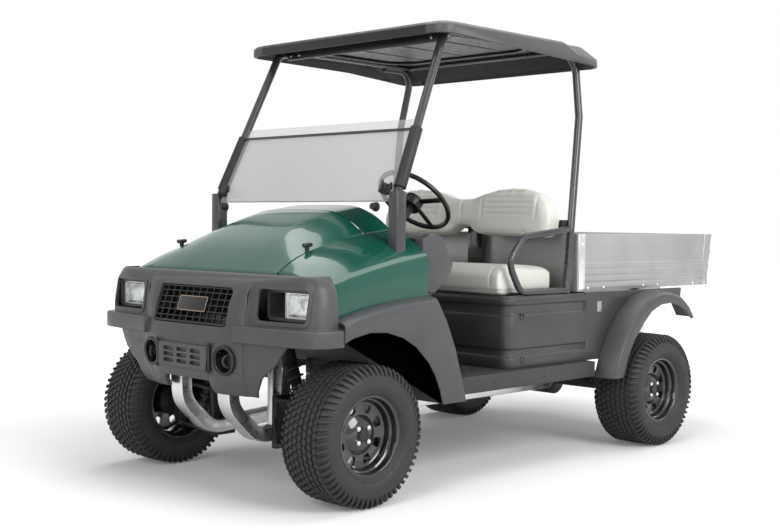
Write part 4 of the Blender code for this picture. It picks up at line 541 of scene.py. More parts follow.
def faired(name, finish, levels, corner, smooth):
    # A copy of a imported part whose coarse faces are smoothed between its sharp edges
    piece = merged(name)
    edit(piece)
    bpy.ops.mesh.quads_convert_to_tris()
    bpy.ops.mesh.tris_convert_to_quads(face_threshold=math.radians(40), shape_threshold=math.radians(60))
    bpy.ops.mesh.select_mode(type="EDGE")
    bpy.ops.mesh.select_all(action="DESELECT")
    bpy.ops.mesh.edges_select_sharp(sharpness=math.radians(corner))
    bpy.ops.transform.edge_crease(value=1)
    endEdit()
    modified(piece, "SUBSURF", levels=levels, render_levels=levels)
    return takeOver(piece, name, finish, smooth)


# Wheels: turf tyres on deep black steel rims
tyre = {
    "profile": (  # distance across and radius
        (0.0960, 0.1560), (0.1040, 0.1640), (0.1115, 0.1700), (0.1165, 0.1760), (0.1155, 0.1790),
        (0.1205, 0.1860), (0.1245, 0.1960), (0.1264, 0.2090), (0.1264, 0.2220), (0.1250, 0.2325),
        (0.1262, 0.2345), (0.1254, 0.2370), (0.1225, 0.2440), (0.1165, 0.2560), (0.1085, 0.2650),
        (0.0980, 0.2710), (0.0800, 0.2745), (0.0500, 0.2766), (0.0200, 0.2776),
    ),
    "turns": 96,
    "rows": (-0.0800, -0.0534, -0.0267, 0.0, 0.0267, 0.0534, 0.0800),
    "pitch": 60,
    "block": (0.0185, 0.0250, 0.0100),
    "blockTop": (0.92, 0.94),
    "blockSkew": 0.30,
    "proud": 0.0028,
    "slant": math.radians(32),
    "lugPath": ((0.0960, 0.2795), (0.1080, 0.2745), (0.1175, 0.2650), (0.1235, 0.2530), (0.1262, 0.2420)),
    "lugRise": (0.0058, 0.0056, 0.0048, 0.0034, -0.0004),
    "lugHalf": (0.0066, 0.0064, 0.0060, 0.0055, 0.0050),
    "lugLean": (0.0, 0.0020, 0.0050, 0.0085, 0.0110),
    "lugRoot": -0.004,
}
wheelSpots = {
    "front_left": Vector((0.625, -1.1955, 0.2855)),
    "front_right": Vector((-0.625, -1.1955, 0.2855)),
    "rear_left": Vector((0.645, 0.8715, 0.2855)),
    "rear_right": Vector((-0.645, 0.8715, 0.2855)),
}


def spun(points, steps, name):
    # A closed outline of (x, radius) points, spun round the X axis
    piece = added("circle", vertices=len(points), radius=0.1, fill_type="NOTHING")
    for vertex, (x, radius) in zip(piece.data.vertices, points):
        vertex.co = (x, 0, radius)
    edit(piece, "VERT")
    bpy.ops.mesh.spin(steps=steps, angle=math.tau, center=(0, 0, 0), axis=(1, 0, 0))
    bpy.ops.mesh.select_all(action="SELECT")
    bpy.ops.mesh.remove_doubles(threshold=0.00002)
    bpy.ops.mesh.normals_make_consistent(inside=False)
    endEdit()
    piece.name = name
    return piece


def tyreBlock():
    # One tread block: a small brick whose sides slope and whose top edges are broken
    block = added("cube", size=1)
    block.data.transform(Matrix.Diagonal((*tyre["block"], 1)))
    edit(block)
    chooseFaces(block, lambda middle, normal: normal.z > 0.9)
    bpy.ops.mesh.bevel(offset=0.0016, segments=1)
    endEdit()
    for vertex in block.data.vertices:
        if vertex.co.z > 0:
            vertex.co.x *= tyre["blockTop"][0]
            vertex.co.y *= tyre["blockTop"][1]
        vertex.co.y += vertex.co.x * tyre["blockSkew"]
    return block


def shoulderLug():
    # A lug that runs over the tyre's shoulder and dies out on its side
    path = tyre["lugPath"]
    lug = added("cube", size=1)
    edit(lug)
    chooseFaces(lug, lambda middle, normal: normal.x > 0.9)
    for _ in path[2:]:
        bpy.ops.mesh.extrude_region_move(TRANSFORM_OT_translate={"value": (1, 0, 0)})
    endEdit()
    for vertex in lug.data.vertices:
        index = int(round(vertex.co.x + 0.5))
        x, radius = path[index]
        near = Vector(path[max(index - 1, 0)])
        far = Vector(path[min(index + 1, len(path) - 1)])
        out = Vector((-(far - near).y, (far - near).x)).normalized()
        if out.y < 0:
            out = -out
        top = vertex.co.z > 0
        rise = tyre["lugRise"][index] if top else tyre["lugRoot"]
        half = tyre["lugHalf"][index] * (0.84 if top else 1.1)
        across = half if vertex.co.y > 0 else -half
        vertex.co = (x + out.x * rise, across + tyre["lugLean"][index], radius + out.y * rise)
    edit(lug)
    bpy.ops.mesh.normals_make_consistent(inside=False)
    endEdit()
    return lug


def crown(x):
    # The carcass's radius and slope at a distance from its middle
    table = sorted(tyre["profile"])
    for (x0, r0), (x1, r1) in zip(table, table[1:]):
        if x0 <= abs(x) <= x1:
            return r0 + (r1 - r0) * (abs(x) - x0) / (x1 - x0), math.atan2(r1 - r0, x1 - x0)
    return table[0][1], 0.0


def addTyres():
    right = list(tyre["profile"])
    outline = right + [(-x, radius) for x, radius in reversed(right)]
    carcass = spun(outline, tyre["turns"], "carcass")
    step = math.tau / tyre["pitch"]
    blocks = []
    for row, x in enumerate(tyre["rows"]):
        radius, slope = crown(x)
        for index in range(tyre["pitch"]):
            turn = Matrix.Rotation(step * (index + 0.5 * (row % 2)), 4, "X")
            tilt = Matrix.Rotation(-math.copysign(slope, x) if x else 0, 4, "Y")
            slant = Matrix.Rotation(math.copysign(tyre["slant"], x) if x else 0.2, 4, "Z")
            blocks.append(turn @ Matrix.Translation((x, 0, radius + tyre["proud"])) @ tilt @ slant)
    lug = shoulderLug()
    other = copied(lug, Matrix.Scale(-1, 4, (1, 0, 0)))
    turns = [Matrix.Rotation(step * index, 4, "X") for index in range(tyre["pitch"])]
    shift = Matrix.Rotation(step / 2, 4, "X")
    otherTurns = [turn @ shift for turn in turns]
    tread = [repeated(tyreBlock(), blocks), repeated(lug, turns), repeated(other, otherTurns)]
    model = joined([carcass] + tread)
    for place, spot in wheelSpots.items():
        name = "tyre_" + place
        piece = copied(model, Matrix.Translation(spot))
        seated(piece, name + "Turf", "wheel_" + place, "rubber", 32, [name])
    bpy.data.objects.remove(model)


rim = {
    "bolts": 4,
    "boltSpot": (0.0605, 0, 0.040),
    "windows": 8,
    "windowSpot": (0.030, 0, 0.1065),
    "windowSize": (0.060, 0.036, 0.031),
    "windowTaper": (1.12, 0.82),
    "outline": (  # distance out and radius: hub, dished disc, drop centre and flange, then round the back
        (0.0620, 0.0), (0.0620, 0.0290), (0.0560, 0.0300), (0.0560, 0.0520), (0.0530, 0.0600),
        (0.0390, 0.0800), (0.0385, 0.1260), (0.0430, 0.1340), (0.0520, 0.1355), (0.0600, 0.1365),
        (0.0680, 0.1400), (0.0720, 0.1480), (0.0960, 0.1500), (0.1010, 0.1540), (0.1020, 0.1640),
        (0.1060, 0.1700), (0.1092, 0.1712), (0.1018, 0.1718), (0.1016, 0.1597), (0.0508, 0.1440),
        (-0.0508, 0.1440), (-0.1016, 0.1597), (-0.1020, 0.1718), (-0.1094, 0.1712), (-0.1040, 0.1560),
        (-0.0508, 0.1365), (0.0240, 0.1355), (0.0230, 0.0520), (0.0230, 0.0290), (0.0460, 0.0290),
        (0.0460, 0.0),
    ),
    "nut": (0.0108, 0.0100),  # radius and height
    "cap": (0.0245, 0.006),
    "capOut": 0.0640,
    "stem": (0.0035, 0.030),
    "stemSpot": (0.078, -0.085, -0.108),
}


def turnedPlaces(count, spot):
    # A spot repeated round the axle
    return [Matrix.Rotation(math.tau * (index + 0.5) / count, 4, "X") @ Matrix.Translation(spot)
            for index in range(count)]


def rimDisc():
    wheel = spun(rim["outline"], 72, "wheel")
    cutter = added("cube", size=1)
    cutter.data.transform(Matrix.Diagonal((*rim["windowSize"], 1)))
    for vertex in cutter.data.vertices:
        vertex.co.y *= rim["windowTaper"][0 if vertex.co.z > 0 else 1]
    edit(cutter)
    chooseFaces(cutter, lambda middle, normal: False)
    bpy.ops.mesh.select_mode(type="EDGE")
    endEdit()
    for edge in cutter.data.edges:
        a, b = (cutter.data.vertices[index].co for index in edge.vertices)
        edge.select = abs(a.x - b.x) > 0.03
    bpy.ops.object.mode_set(mode="EDIT")
    bpy.ops.mesh.bevel(offset=0.008, segments=3)
    endEdit()
    cutter = repeated(cutter, turnedPlaces(rim["windows"], rim["windowSpot"]))
    modified(wheel, "BOOLEAN", operation="DIFFERENCE", solver="EXACT", object=cutter)
    bpy.data.objects.remove(cutter)
    return bevelled(wheel, 0.0014, 2, 38, use_clamp_overlap=False)


def turnedTop(shape, sides, *steps):
    # A cylinder whose top face takes inset and height steps in turn
    radius, depth = rim[shape]
    piece = added("cylinder", vertices=sides, radius=radius, depth=depth)
    edit(piece)
    chooseFaces(piece, lambda middle, normal: normal.z > 0.9)
    for inset, rise in steps:
        bpy.ops.mesh.inset(thickness=inset)
        if rise:
            bpy.ops.mesh.extrude_region_move(TRANSFORM_OT_translate={"value": (0, 0, rise)})
    return piece


def addRims():
    stand = Matrix.Rotation(math.pi / 2, 4, "Y")
    wheel = rimDisc()
    nut = turnedTop("nut", 6, (0.0022, 0.0045))
    bpy.ops.transform.resize(value=(0.72, 0.72, 1))
    bpy.ops.mesh.bevel(offset=0.0012, segments=2)
    endEdit()
    modified(nut, "BEVEL", width=0.0008, segments=2)
    nuts = repeated(nut, [place @ stand for place in turnedPlaces(rim["bolts"], rim["boltSpot"])])
    cap = turnedTop("cap", 32, (0.004, -0.0016), (0.006, 0))
    endEdit()
    bevelled(cap, 0.001)
    cap.data.transform(Matrix.Translation((rim["capOut"], 0, 0)) @ stand)
    stem = turnedTop("stem", 12, (0.0009, 0.007))
    endEdit()
    stem.data.transform(Matrix.Translation(rim["stemSpot"]) @ stand)
    for place, spot in wheelSpots.items():
        home = Matrix.Translation(spot) @ Matrix.Diagonal((math.copysign(1, spot.x), 1, 1, 1))
        body = "wheel_" + place
        name = "rim_" + place
        seated(copied(wheel, home), name + "Pressed", body, "steel", 34, [name])
        seated(copied(nuts, home), name + "Nuts", body, "chrome", 30)
        seated(copied(cap, home), name + "Cap", body, "satinBlack", 30)
        seated(copied(stem, home), name + "Stem", body, "chrome", 30)
    for piece in (wheel, nuts, cap, stem):
        bpy.data.objects.remove(piece)


addTyres()
addRims()
print("wheels: four treaded tyres on pressed rims")


# Bodywork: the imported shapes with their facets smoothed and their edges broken
edges = (  # parts, finish, edge width (none: facets as packed), steps, corner angle and smoothing angle
    (["fascia"], "charcoal", 0.0026, 2, 34, 42),
    (["canopy"], "canopy", 0.004, 3, 40, 50),
    (onBothSides("front_flare", "rear_flare"), "charcoal", 0.0025, 2, 38, 44),
    (["seat_pod"], "pod", 0.003, 2, 34, 40),
    (["dash"], "charcoal", 0.004, 3, 34, 42),
    (["floorboard"], "floor", 0.003, 2, 32, 40),
    (["bumper_plate"], "charcoal", None, 0, 0, 30),
    (["roof_frame"], "tube", 0, 1, 30, 50),
    (onBothSides("strut_front", "strut_rear"), "tube", 0.0022, 2, 50, 48),
    (onBothSides("windshield_seal"), "sleeve", 0.0015, 2, 50, 48),
    (["steering_wheel"], "black", 0.002, 2, 50, 55),
    (["steering_column"], "satinBlack", 0.002, 2, 40, 50),
    (["pedals"], "black", 0.0015, 2, 32, 40),
    (["seat_back_bracket"], "steel", 0.0015, 2, 32, 40),
    (["frame"], "railMetal", 0.004, 3, 40, 44),
    (["engine"], "cast", 0.012, 3, 32, 40),
    (["rear_axle"], "cast", 0.0015, 1, 45, 48),
    (onBothSides("knuckle", "front_suspension"), "cast", 0.0012, 1, 45, 48),
    (["bed", "tailgate"], "bedMetal", 0.0018, 2, 40, 40),
    (["windshield_lower", "windshield_upper"], "acrylic", 0.0015, 2, 32, 40),
)


def addBodywork():
    for name in ("hood", "front_body"):
        faired(name, "green", 2, 26, 32)
    for names, finish, *settings in edges:
        for name in names:
            rounded(name, finish, *settings)


addBodywork()
print("bodywork: packed shapes smoothed")


# Seats: one bench cushion and a back with two humps, stuffed by pressure, with sewn channels
seats = {
    "pressure": 4,
    "frames": 20,
    "thread": 0.0065,
    "seat_bottom": {
        "voxel": 0.010, "inset": 0.007, "cap": 0.014, "ends": (-0.500, 0.500), "piping": 0.022,
        "channels": (0.10, 0.16, 0.22, 0.28), "span": (0.10, 0.42),
    },
    "seat_back": {
        "voxel": 0.009, "inset": 0.006, "cap": 0.012, "edges": (0.135, 0.475), "edgeSpan": (1.140, 1.320),
        "channels": (1.176, 1.203, 1.230, 1.257, 1.284), "span": (0.155, 0.455),
    },
}


def stuffed(name):
    # A copy of the imported cushion, remeshed and blown up a little inside the space of the solid
    plan = seats[name]
    low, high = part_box(name)
    middle = (low + high) / 2
    size = high - low
    pad = merged(name)
    edit(pad)
    bpy.ops.mesh.quads_convert_to_tris()
    endEdit()
    shrink = [1 - 2 * plan["inset"] / size[axis] for axis in range(3)]
    for vertex in pad.data.vertices:
        vertex.co = Vector(middle[axis] + (vertex.co[axis] - middle[axis]) * shrink[axis]
                           for axis in range(3))
    modified(pad, "REMESH", mode="VOXEL", voxel_size=plan["voxel"])
    modified(pad, "SMOOTH", factor=0.5, iterations=10)
    start = [vertex.co.copy() for vertex in pad.data.vertices]
    pick(pad)
    cloth = pad.modifiers.new("cloth", "CLOTH")
    cloth.settings.use_pressure = True
    cloth.settings.uniform_pressure_force = seats["pressure"]
    cloth.settings.effector_weights.gravity = 0
    for step in range(1, seats["frames"] + 1):
        bpy.context.scene.frame_set(step)
    bpy.ops.object.modifier_apply(modifier="cloth")
    bpy.context.scene.frame_set(1)
    for vertex, rest in zip(pad.data.vertices, start):
        move = vertex.co - rest
        if move.length > plan["cap"]:
            move = move.normalized() * plan["cap"]
        vertex.co = rest + move
        for axis in range(3):
            vertex.co[axis] = min(max(vertex.co[axis], low[axis]), high[axis])
    modified(pad, "SMOOTH", factor=0.5, iterations=3)
    modified(pad, "SUBSURF", levels=1, render_levels=1)
    return pad


def sewn(pad, lines):
    # Each line is a function of a point: how far it is from a seam, and how strong the seam is there
    normals = [vertex.normal.copy() for vertex in pad.data.vertices]
    for vertex, normal in zip(pad.data.vertices, normals):
        sink = 0.0
        for line in lines:
            gap, depth = line(vertex.co, normal)
            sink = max(sink, depth * math.exp(-(gap / seats["thread"]) ** 2))
        vertex.co -= normal * sink


def within(value, span):
    # 1 inside a span, fading to 0 at its ends
    low, high = span
    return min(max((value - low) / 0.03, 0), 1) * min(max((high - value) / 0.03, 0), 1)


def backSeams():
    plan = seats["seat_back"]
    lines = []
    for level in plan["channels"]:
        def channel(spot, normal, level=level):
            return spot.z - level, 0.0048 * within(abs(spot.x), plan["span"]) * (normal.y < -0.3)
        lines.append(channel)
    for place in plan["edges"]:
        def border(spot, normal, place=place):
            return abs(spot.x) - place, 0.0030 * within(spot.z, plan["edgeSpan"]) * (normal.y < -0.3)
        lines.append(border)
    return lines + [lambda spot, normal: (spot.x, 0.0035 * (normal.y < -0.2))]


def bottomSeams():
    plan = seats["seat_bottom"]
    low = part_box("seat_bottom")[0]
    lines = [lambda spot, normal, place=place: (spot.x - place, 0.0040 * (normal.z > -0.2))
             for place in plan["ends"]]
    lines.append(lambda spot, normal: (spot.x, 0.0030 * (normal.z > 0.2)))
    for depth in plan["channels"]:
        def channel(spot, normal, depth=depth):
            return spot.y - (low.y + depth), 0.0045 * within(abs(spot.x), plan["span"]) * (normal.z > 0.4)
        lines.append(channel)
    lines.append(lambda spot, normal: (spot.z - (low.z + plan["piping"]), 0.0035 * (abs(normal.z) < 0.7)))
    return lines


def addSeats():
    for name, label, seams, body in (("seat_back", "seatBackPad", backSeams, "chassis"),
                                     ("seat_bottom", "seatBottomPad", bottomSeams, "seat_bottom")):
        pad = stuffed(name)
        sewn(pad, seams())
        seated(pad, label, body, "vinyl", 60, [name])


addSeats()
print("seats: bench and back stuffed and sewn")


# Springs over the front dampers
spring = {
    "wire": 0.0048,
    "radius": 0.034,
    "turns": 7,
    "foot": (0.381985, 0, 0.1902),
    "head": (0.2304, 0, 0.5950),
    "start": 0.24,  # share of the damper below the spring
    "share": 0.62,  # and the share it covers
}


def addSprings():
    for word, side in sides.items():
        foot, head = (onMap(side * x, aft, height) for x, aft, height in (spring["foot"], spring["head"]))
        run = head - foot
        coil = added("circle", vertices=8, radius=spring["wire"], location=(spring["radius"], 0, 0),
                     rotation=(math.pi / 2, 0, 0), fill_type="NOTHING")
        flatten(coil)
        pitch = run.length * spring["share"] / spring["turns"]
        modified(coil, "SCREW", screw_offset=pitch, iterations=spring["turns"], steps=20, render_steps=20)
        edit(coil, "EDGE")
        bpy.ops.mesh.fill_holes(sides=0)
        bpy.ops.mesh.select_all(action="SELECT")
        bpy.ops.mesh.normals_make_consistent(inside=False)
        endEdit()
        coil.data.transform(Matrix.Translation(foot + run * spring["start"]) @ towards(run))
        seated(coil, "frontSpring_" + word, "chassis", "springPaint", 60)


addSprings()
print("springs: two coils")


# Small fittings
lamps = {
    "middle": (0.5600, -0.2300, 0.7980),
    "size": (0.158, 0.010, 0.108),
    "rim": 0.005,
    "glassMargin": 0.0055,
    "glassBulge": 0.006,
    "glassThick": 0.003,
    "border": (0.146, 0.078, 0.030, 0.0145, 0.002),  # half width, half height, corner, band, thickness
    "borderSpot": (0.519, -0.60, 0.798),
    "borderWall": 0.007,
}


def lampBezel(spot):
    bezel = added("cube", size=1, location=spot, scale=lamps["size"])
    flatten(bezel)
    edit(bezel)
    chooseFaces(bezel, lambda middle, normal: normal.y < -0.9)
    bpy.ops.mesh.inset(thickness=lamps["rim"])
    bpy.ops.mesh.extrude_region_move(TRANSFORM_OT_translate={"value": (0, lamps["rim"], 0)})
    endEdit()
    return bevelled(bezel, 0.0015)


def lampGlass(spot):
    # A pane that swells towards its middle
    glass = added("grid", x_subdivisions=12, y_subdivisions=8, size=1)
    wide, _, tall = lamps["size"]
    for vertex in glass.data.vertices:
        u, v = vertex.co.x * 2, vertex.co.y * 2
        swell = lamps["glassBulge"] * (1 - u ** 4) * (1 - v ** 4)
        vertex.co = (u * (wide / 2 - lamps["glassMargin"]), -swell, v * (tall / 2 - lamps["glassMargin"]))
    modified(glass, "SOLIDIFY", thickness=lamps["glassThick"])
    modified(glass, "SUBSURF", levels=1, render_levels=1)
    glass.data.transform(Matrix.Translation(spot + Vector((0, 0.0005, 0))))
    return glass


def lampBorder(side):
    # A raised band laid over the curved fascia round the lamp's opening
    border = ring(*lamps["border"])
    edit(border)
    bpy.ops.mesh.subdivide(number_cuts=2)
    endEdit()
    x, aft, height = lamps["borderSpot"]
    upright = Matrix.Rotation(math.pi / 2, 4, "X")
    border.data.transform(Matrix.Translation(onMap(side * x, aft, height)) @ upright)
    modified(border, "SHRINKWRAP", wrap_method="PROJECT", use_project_y=True, use_positive_direction=True,
             use_negative_direction=False, target=bpy.data.objects["fasciaFine"],
             wrap_mode="ABOVE_SURFACE", offset=0.0)
    edit(border, "VERT")
    bpy.ops.mesh.remove_doubles(threshold=0.0004)
    bpy.ops.mesh.normals_make_consistent(inside=False)
    endEdit()
    modified(border, "SOLIDIFY", thickness=lamps["borderWall"], offset=0, use_rim=True)
    return bevelled(border, 0.002, 2, 50)


def addLamps():
    for word, side in sides.items():
        x, aft, height = lamps["middle"]
        spot = onMap(side * x, aft, height)
        seated(lampBezel(spot), "lampBezel_" + word, "chassis", "lampRim", 30)
        seated(lampGlass(spot), "lampGlass_" + word, "chassis", "lampGlass", 40)
        seated(lampBorder(side), "lampBorder_" + word, "chassis", "charcoal", 40)


grilleCase = {
    "columns": 11,
    "rows": 6,
    "bar": 0.0020,
    "deep": 0.012,
    "lean": math.radians(19),
    "rise": 0.161,
    "half": 0.2467,
    "frame": (0.020, 0.009),  # corner and band
    "badge": (0.190, 0.066, 0.005),
    "badgeHeight": 0.780,
    "badgeRim": (0.004, 0.003, 0.002),  # corner, band and thickness
}


def addGrille():
    low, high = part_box("grille")
    middle = (low + high) / 2
    half, rise, deep, lean = (grilleCase[key] for key in ("half", "rise", "deep", "lean"))
    bars = added("grid", x_subdivisions=grilleCase["columns"], y_subdivisions=grilleCase["rows"], size=1)
    for vertex in bars.data.vertices:
        vertex.co.x *= half * 2
        vertex.co.y *= rise
    edit(bars)
    bpy.ops.mesh.inset(thickness=grilleCase["bar"], use_individual=True)
    bpy.ops.mesh.delete(type="FACE")
    endEdit()
    modified(bars, "SOLIDIFY", thickness=deep - 0.001, offset=0)
    bevelled(bars, 0.0012)
    surround = ring(half, rise / 2, *grilleCase["frame"], deep)
    surround.data.transform(Matrix.Translation((0, 0, deep / 2)))
    stand = Matrix.Translation(middle) @ Matrix.Rotation(math.pi / 2 - lean, 4, "X")
    for piece in (bars, surround):
        piece.data.transform(stand)
    seated(joined([bars, surround]), "grilleBars", "chassis", "black", 35, ["grille"])
    wide, tall, thick = grilleCase["badge"]
    plate = slab((0, 0, 0), (wide, tall, thick), 0.002)
    edge = ring(wide / 2 - 0.001, tall / 2 - 0.001, *grilleCase["badgeRim"])
    edge.data.transform(Matrix.Translation((0, 0, 0.0036)))
    along = (grilleCase["badgeHeight"] - middle.z) / math.cos(lean)
    place = stand @ Matrix.Translation((0, along, deep / 2 + 0.0015))
    for piece in (plate, edge):
        piece.data.transform(place)
    seated(plate, "badgePlate", "chassis", "satinBlack", 30)
    seated(edge, "badgeRim", "chassis", "bronze", 30)


noseTrim = {
    "eye": (0.247, -0.352, 0.568),
    "loop": {"major_radius": 0.054, "minor_radius": 0.008, "major_segments": 40, "minor_segments": 10},
    "backing": ((0.247, -0.322, 0.568), (0.110, 0.004, 0.110)),
    "bar": ((0.176, -0.3725, 0.574), (0.012, 0.010, 0.112)),
    "clampX": 0.176,
    "clampHeights": (0.520, 0.628),
    "clampSize": (0.022, 0.006, 0.014),
    "hookSpot": (0.262, -0.338, 0.566),
    "hook": {"major_radius": 0.024, "minor_radius": 0.006, "major_segments": 28, "minor_segments": 8},
    "padHeights": (0.556, 0.581, 0.605),
    "padSize": (0.052, 0.003, 0.013),
}


def noseLoops(shape, spot, lean, turn):
    x, aft, height = spot
    loops = []
    for side in (-1, 1):
        loops.append(flatten(added("torus", location=onMap(side * x, aft, height),
                                   rotation=(lean, 0, side * turn), **noseTrim[shape])))
    return loops


def addNoseFittings():
    parts = noseLoops("loop", noseTrim["eye"], math.radians(94), math.radians(4))
    for key in ("backing", "bar"):
        parts += twoSlabs(*noseTrim[key], 0.002)
    x = noseTrim["clampX"]
    for height in noseTrim["clampHeights"]:
        parts += twoSlabs((x, -0.3765, height), noseTrim["clampSize"], 0.002)
    seated(joined(parts), "towEyeRings", "chassis", "black", 40)
    hooks = noseLoops("hook", noseTrim["hookSpot"], math.radians(90), math.radians(60))
    seated(joined(hooks), "towHooks", "chassis", "cast", 40)
    spots = [onMap(side * x, -0.3795, height) for side in (-1, 1) for height in noseTrim["clampHeights"]]
    heads = fixedTo(bolt(0.005, 0.004), spots, (0, -1, 0))
    seated(heads, "plateBolts", "chassis", "cast")
    pads = [slab(onMap(0, -0.3600, height), noseTrim["padSize"], 0.001) for height in noseTrim["padHeights"]]
    seated(joined(pads), "platePads", "chassis", "chrome")


latch = {
    "stem": (0.015, 0.050),  # radius and length
    "waist": 0.55,
    "stemSpot": (0.425, -0.074, 1.006),
    "bar": ((0.426, -0.096, 1.030), (0.426, -0.050, 1.033)),
    "barRadius": 0.0085,
    "foot": ((0.420, -0.078, 0.985), (0.046, 0.050, 0.014)),
}


def addHoodLatches():
    # A rubber strap with a waist and a bar to pull it by, on each side
    radius, length = latch["stem"]
    parts = twoSlabs(*latch["foot"], 0.004)
    for side in (-1, 1):
        stem = added("cylinder", vertices=16, radius=radius, depth=length)
        edit(stem)
        bpy.ops.mesh.subdivide(number_cuts=3)
        endEdit()
        for vertex in stem.data.vertices:
            waist = latch["waist"] + (1 - latch["waist"]) * (abs(vertex.co.z) / (length / 2)) ** 2
            vertex.co.x *= waist
            vertex.co.y *= waist
        x, aft, height = latch["stemSpot"]
        stem.data.transform(Matrix.Translation(onMap(side * x, aft, height)))
        start, end = (onMap(side * x, aft, height) for x, aft, height in latch["bar"])
        parts += [stem, rod(start, end, latch["barRadius"], 14, 0.002)]
    seated(joined(parts), "hoodLatches", "hood", "satinBlack", 40)


shield = {
    "hinge": (1.136, 0.009, 0.012),
    "foot": (1.120, 0.008, 0.006),
    "clipHeight": 1.272,
    "clipX": 0.545,
    "clip": (0.025, 0.050, 0.008),  # radius, length and wall
    "clipTurn": 0.7,
    "knobHeight": 1.190,
    "knobX": 0.505,
    "knob": (  # reach, dip, radius, sides and edge
        (0.030, -0.004, 0.015, 10, 0.003), (0.010, -0.001, 0.020, 20, 0.002),
    ),
}


def paneFront(height):
    # How far forward the windshield's front face is at a height
    nearest = []
    for name in ("windshield_lower", "windshield_upper"):
        low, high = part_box(name)
        share = (height - low.z) / (high.z - low.z)
        nearest.append(low.y + (high.y - 0.005 - low.y) * share)
    return min(nearest)


def addShieldFittings():
    low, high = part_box("windshield_lower")
    hinge = slab((0, paneFront(high.z) - 0.004, high.z - 0.004), shield["hinge"], 0.003)
    seated(hinge, "shieldHinge", "chassis", "bronzeStrip", 40)
    foot = slab((0, paneFront(low.z) + 0.002, low.z + 0.003), shield["foot"], 0.002)
    seated(foot, "shieldFoot", "chassis", "reflector", 40)
    rubber = []
    lean = Matrix.Rotation(-math.atan2(high.y - low.y, high.z - low.z), 4, "X")
    radius, length, wall = shield["clip"]
    for side in (-1, 1):
        clip = added("cylinder", vertices=28, radius=radius, depth=length, end_fill_type="NOTHING")
        edit(clip)
        chooseFaces(clip, lambda middle, normal: normal.y < -0.55)
        bpy.ops.mesh.delete(type="FACE")
        endEdit()
        modified(clip, "SOLIDIFY", thickness=wall)
        bevelled(clip, 0.0018)
        height = shield["clipHeight"]
        spot = Vector((side * shield["clipX"], paneFront(height) - 0.028, height))
        turn = Matrix.Rotation(side * shield["clipTurn"], 4, "Z")
        clip.data.transform(Matrix.Translation(spot) @ lean @ turn)
        rubber += [clip, rod(spot + Vector((0, 0.020, 0)), spot + Vector((0, 0.030, 0)), 0.012, 16)]
        height = shield["knobHeight"]
        knob = Vector((side * shield["knobX"], paneFront(height), height))
        for reach, dip, wide, count, edge in shield["knob"]:
            rubber.append(rod(knob, knob - Vector((0, reach, dip)), wide, count, edge))
    seated(joined(rubber), "shieldClips", "chassis", "sleeve", 40)


canopyTrim = {
    "bow": ((0, 0.640, 1.944), (1.054, 0.016, 0.042)),
    "liner": (0.470, 0.330, 0.150, 0.026, 0.012),  # half width, half length, corner, band, thickness
    "middle": (1.050, 1.9745),
    "ridges": (-0.260, 0.0, 0.260),
    "ridgeSize": (0.030, 0.560, 0.008),
    "boltX": (0.500, 0.440),
    "bolt": (0.007, 0.005),
}


def addCanopyFittings():
    spot, size = canopyTrim["bow"]
    bow = slab(onMap(*spot), size, 0.006, 3)
    aft, height = canopyTrim["middle"]
    liner = ring(*canopyTrim["liner"])
    liner.data.transform(Matrix.Translation(onMap(0, aft, height)))
    ridges = [slab(onMap(x, aft, height + 0.0015), canopyTrim["ridgeSize"], 0.0038, 3)
              for x in canopyTrim["ridges"]]
    seated(joined([liner] + ridges), "canopyRibs", "chassis", "canopy", 45)
    seated(bow, "canopyBow", "chassis", "satinBlack", 45)
    spots = [onMap(side * x, 0.631, spot[2]) for side in (-1, 1) for x in canopyTrim["boltX"]]
    heads = fixedTo(bolt(*canopyTrim["bolt"]), spots, (0, -1, 0))
    seated(heads, "canopyBolts", "chassis", "chrome")


podTrim = {
    "plugX": 0.6200,
    "plugs": ((1.0780, 0.698), (1.0825, 0.499)),
    "plug": (0.016, 0.004, 0.003),  # radius, depth and rim
    "reflector": ((0.6215, 1.690, 0.722), (0.005, 0.036, 0.052)),
    "rivetRow": (0.6655, 0.419),
    "rivetAfts": (0.835, 1.196, 1.562),
    "rivetRadius": 0.0055,
}


def addPodFittings():
    plugs = []
    radius, depth, lip = podTrim["plug"]
    for side in (-1, 1):
        for aft, height in podTrim["plugs"]:
            plug = added("cylinder", vertices=24, radius=radius, depth=depth)
            edit(plug)
            chooseFaces(plug, lambda middle, normal: normal.z > 0.9)
            bpy.ops.mesh.inset(thickness=lip)
            bpy.ops.mesh.extrude_region_move(TRANSFORM_OT_translate={"value": (0, 0, -lip)})
            endEdit()
            spot = onMap(side * podTrim["plugX"], aft, height)
            plug.data.transform(Matrix.Translation(spot) @ towards((side, 0, 0)))
            plugs.append(plug)
    seated(joined(plugs), "podPlugs", "chassis", "satinBlack", 35)
    plates = twoSlabs(*podTrim["reflector"], 0.002)
    seated(joined(plates), "sideReflectors", "chassis", "reflector", 30)
    x, height = podTrim["rivetRow"]
    rows = []
    for side in (-1, 1):
        spots = [onMap(side * x, aft, height) for aft in podTrim["rivetAfts"]]
        rows.append(fixedTo(rivet(podTrim["rivetRadius"]), spots, (side, 0, 0)))
    seated(joined(rows), "rockerRivets", "chassis", "cast", 40)


bedTrim = {
    "postX": 0.6225,
    "postBack": 0.033,
    "postSize": (0.007, 0.050),
    "postFoot": (0.808, 0.812),
    "rivetX": 0.6215,
    "rivetHeight": 0.8155,
    "rivetAfts": (1.591, 1.727, 2.082, 2.216, 2.568, 2.690),
    "postRivetX": 0.6262,
    "postRivets": (0.850, 0.940, 1.030),
    "rivetRadius": 0.0070,
    "latch": ((0.590, 0.014, 0.040), (0.030, 0.010, 0.050)),
}


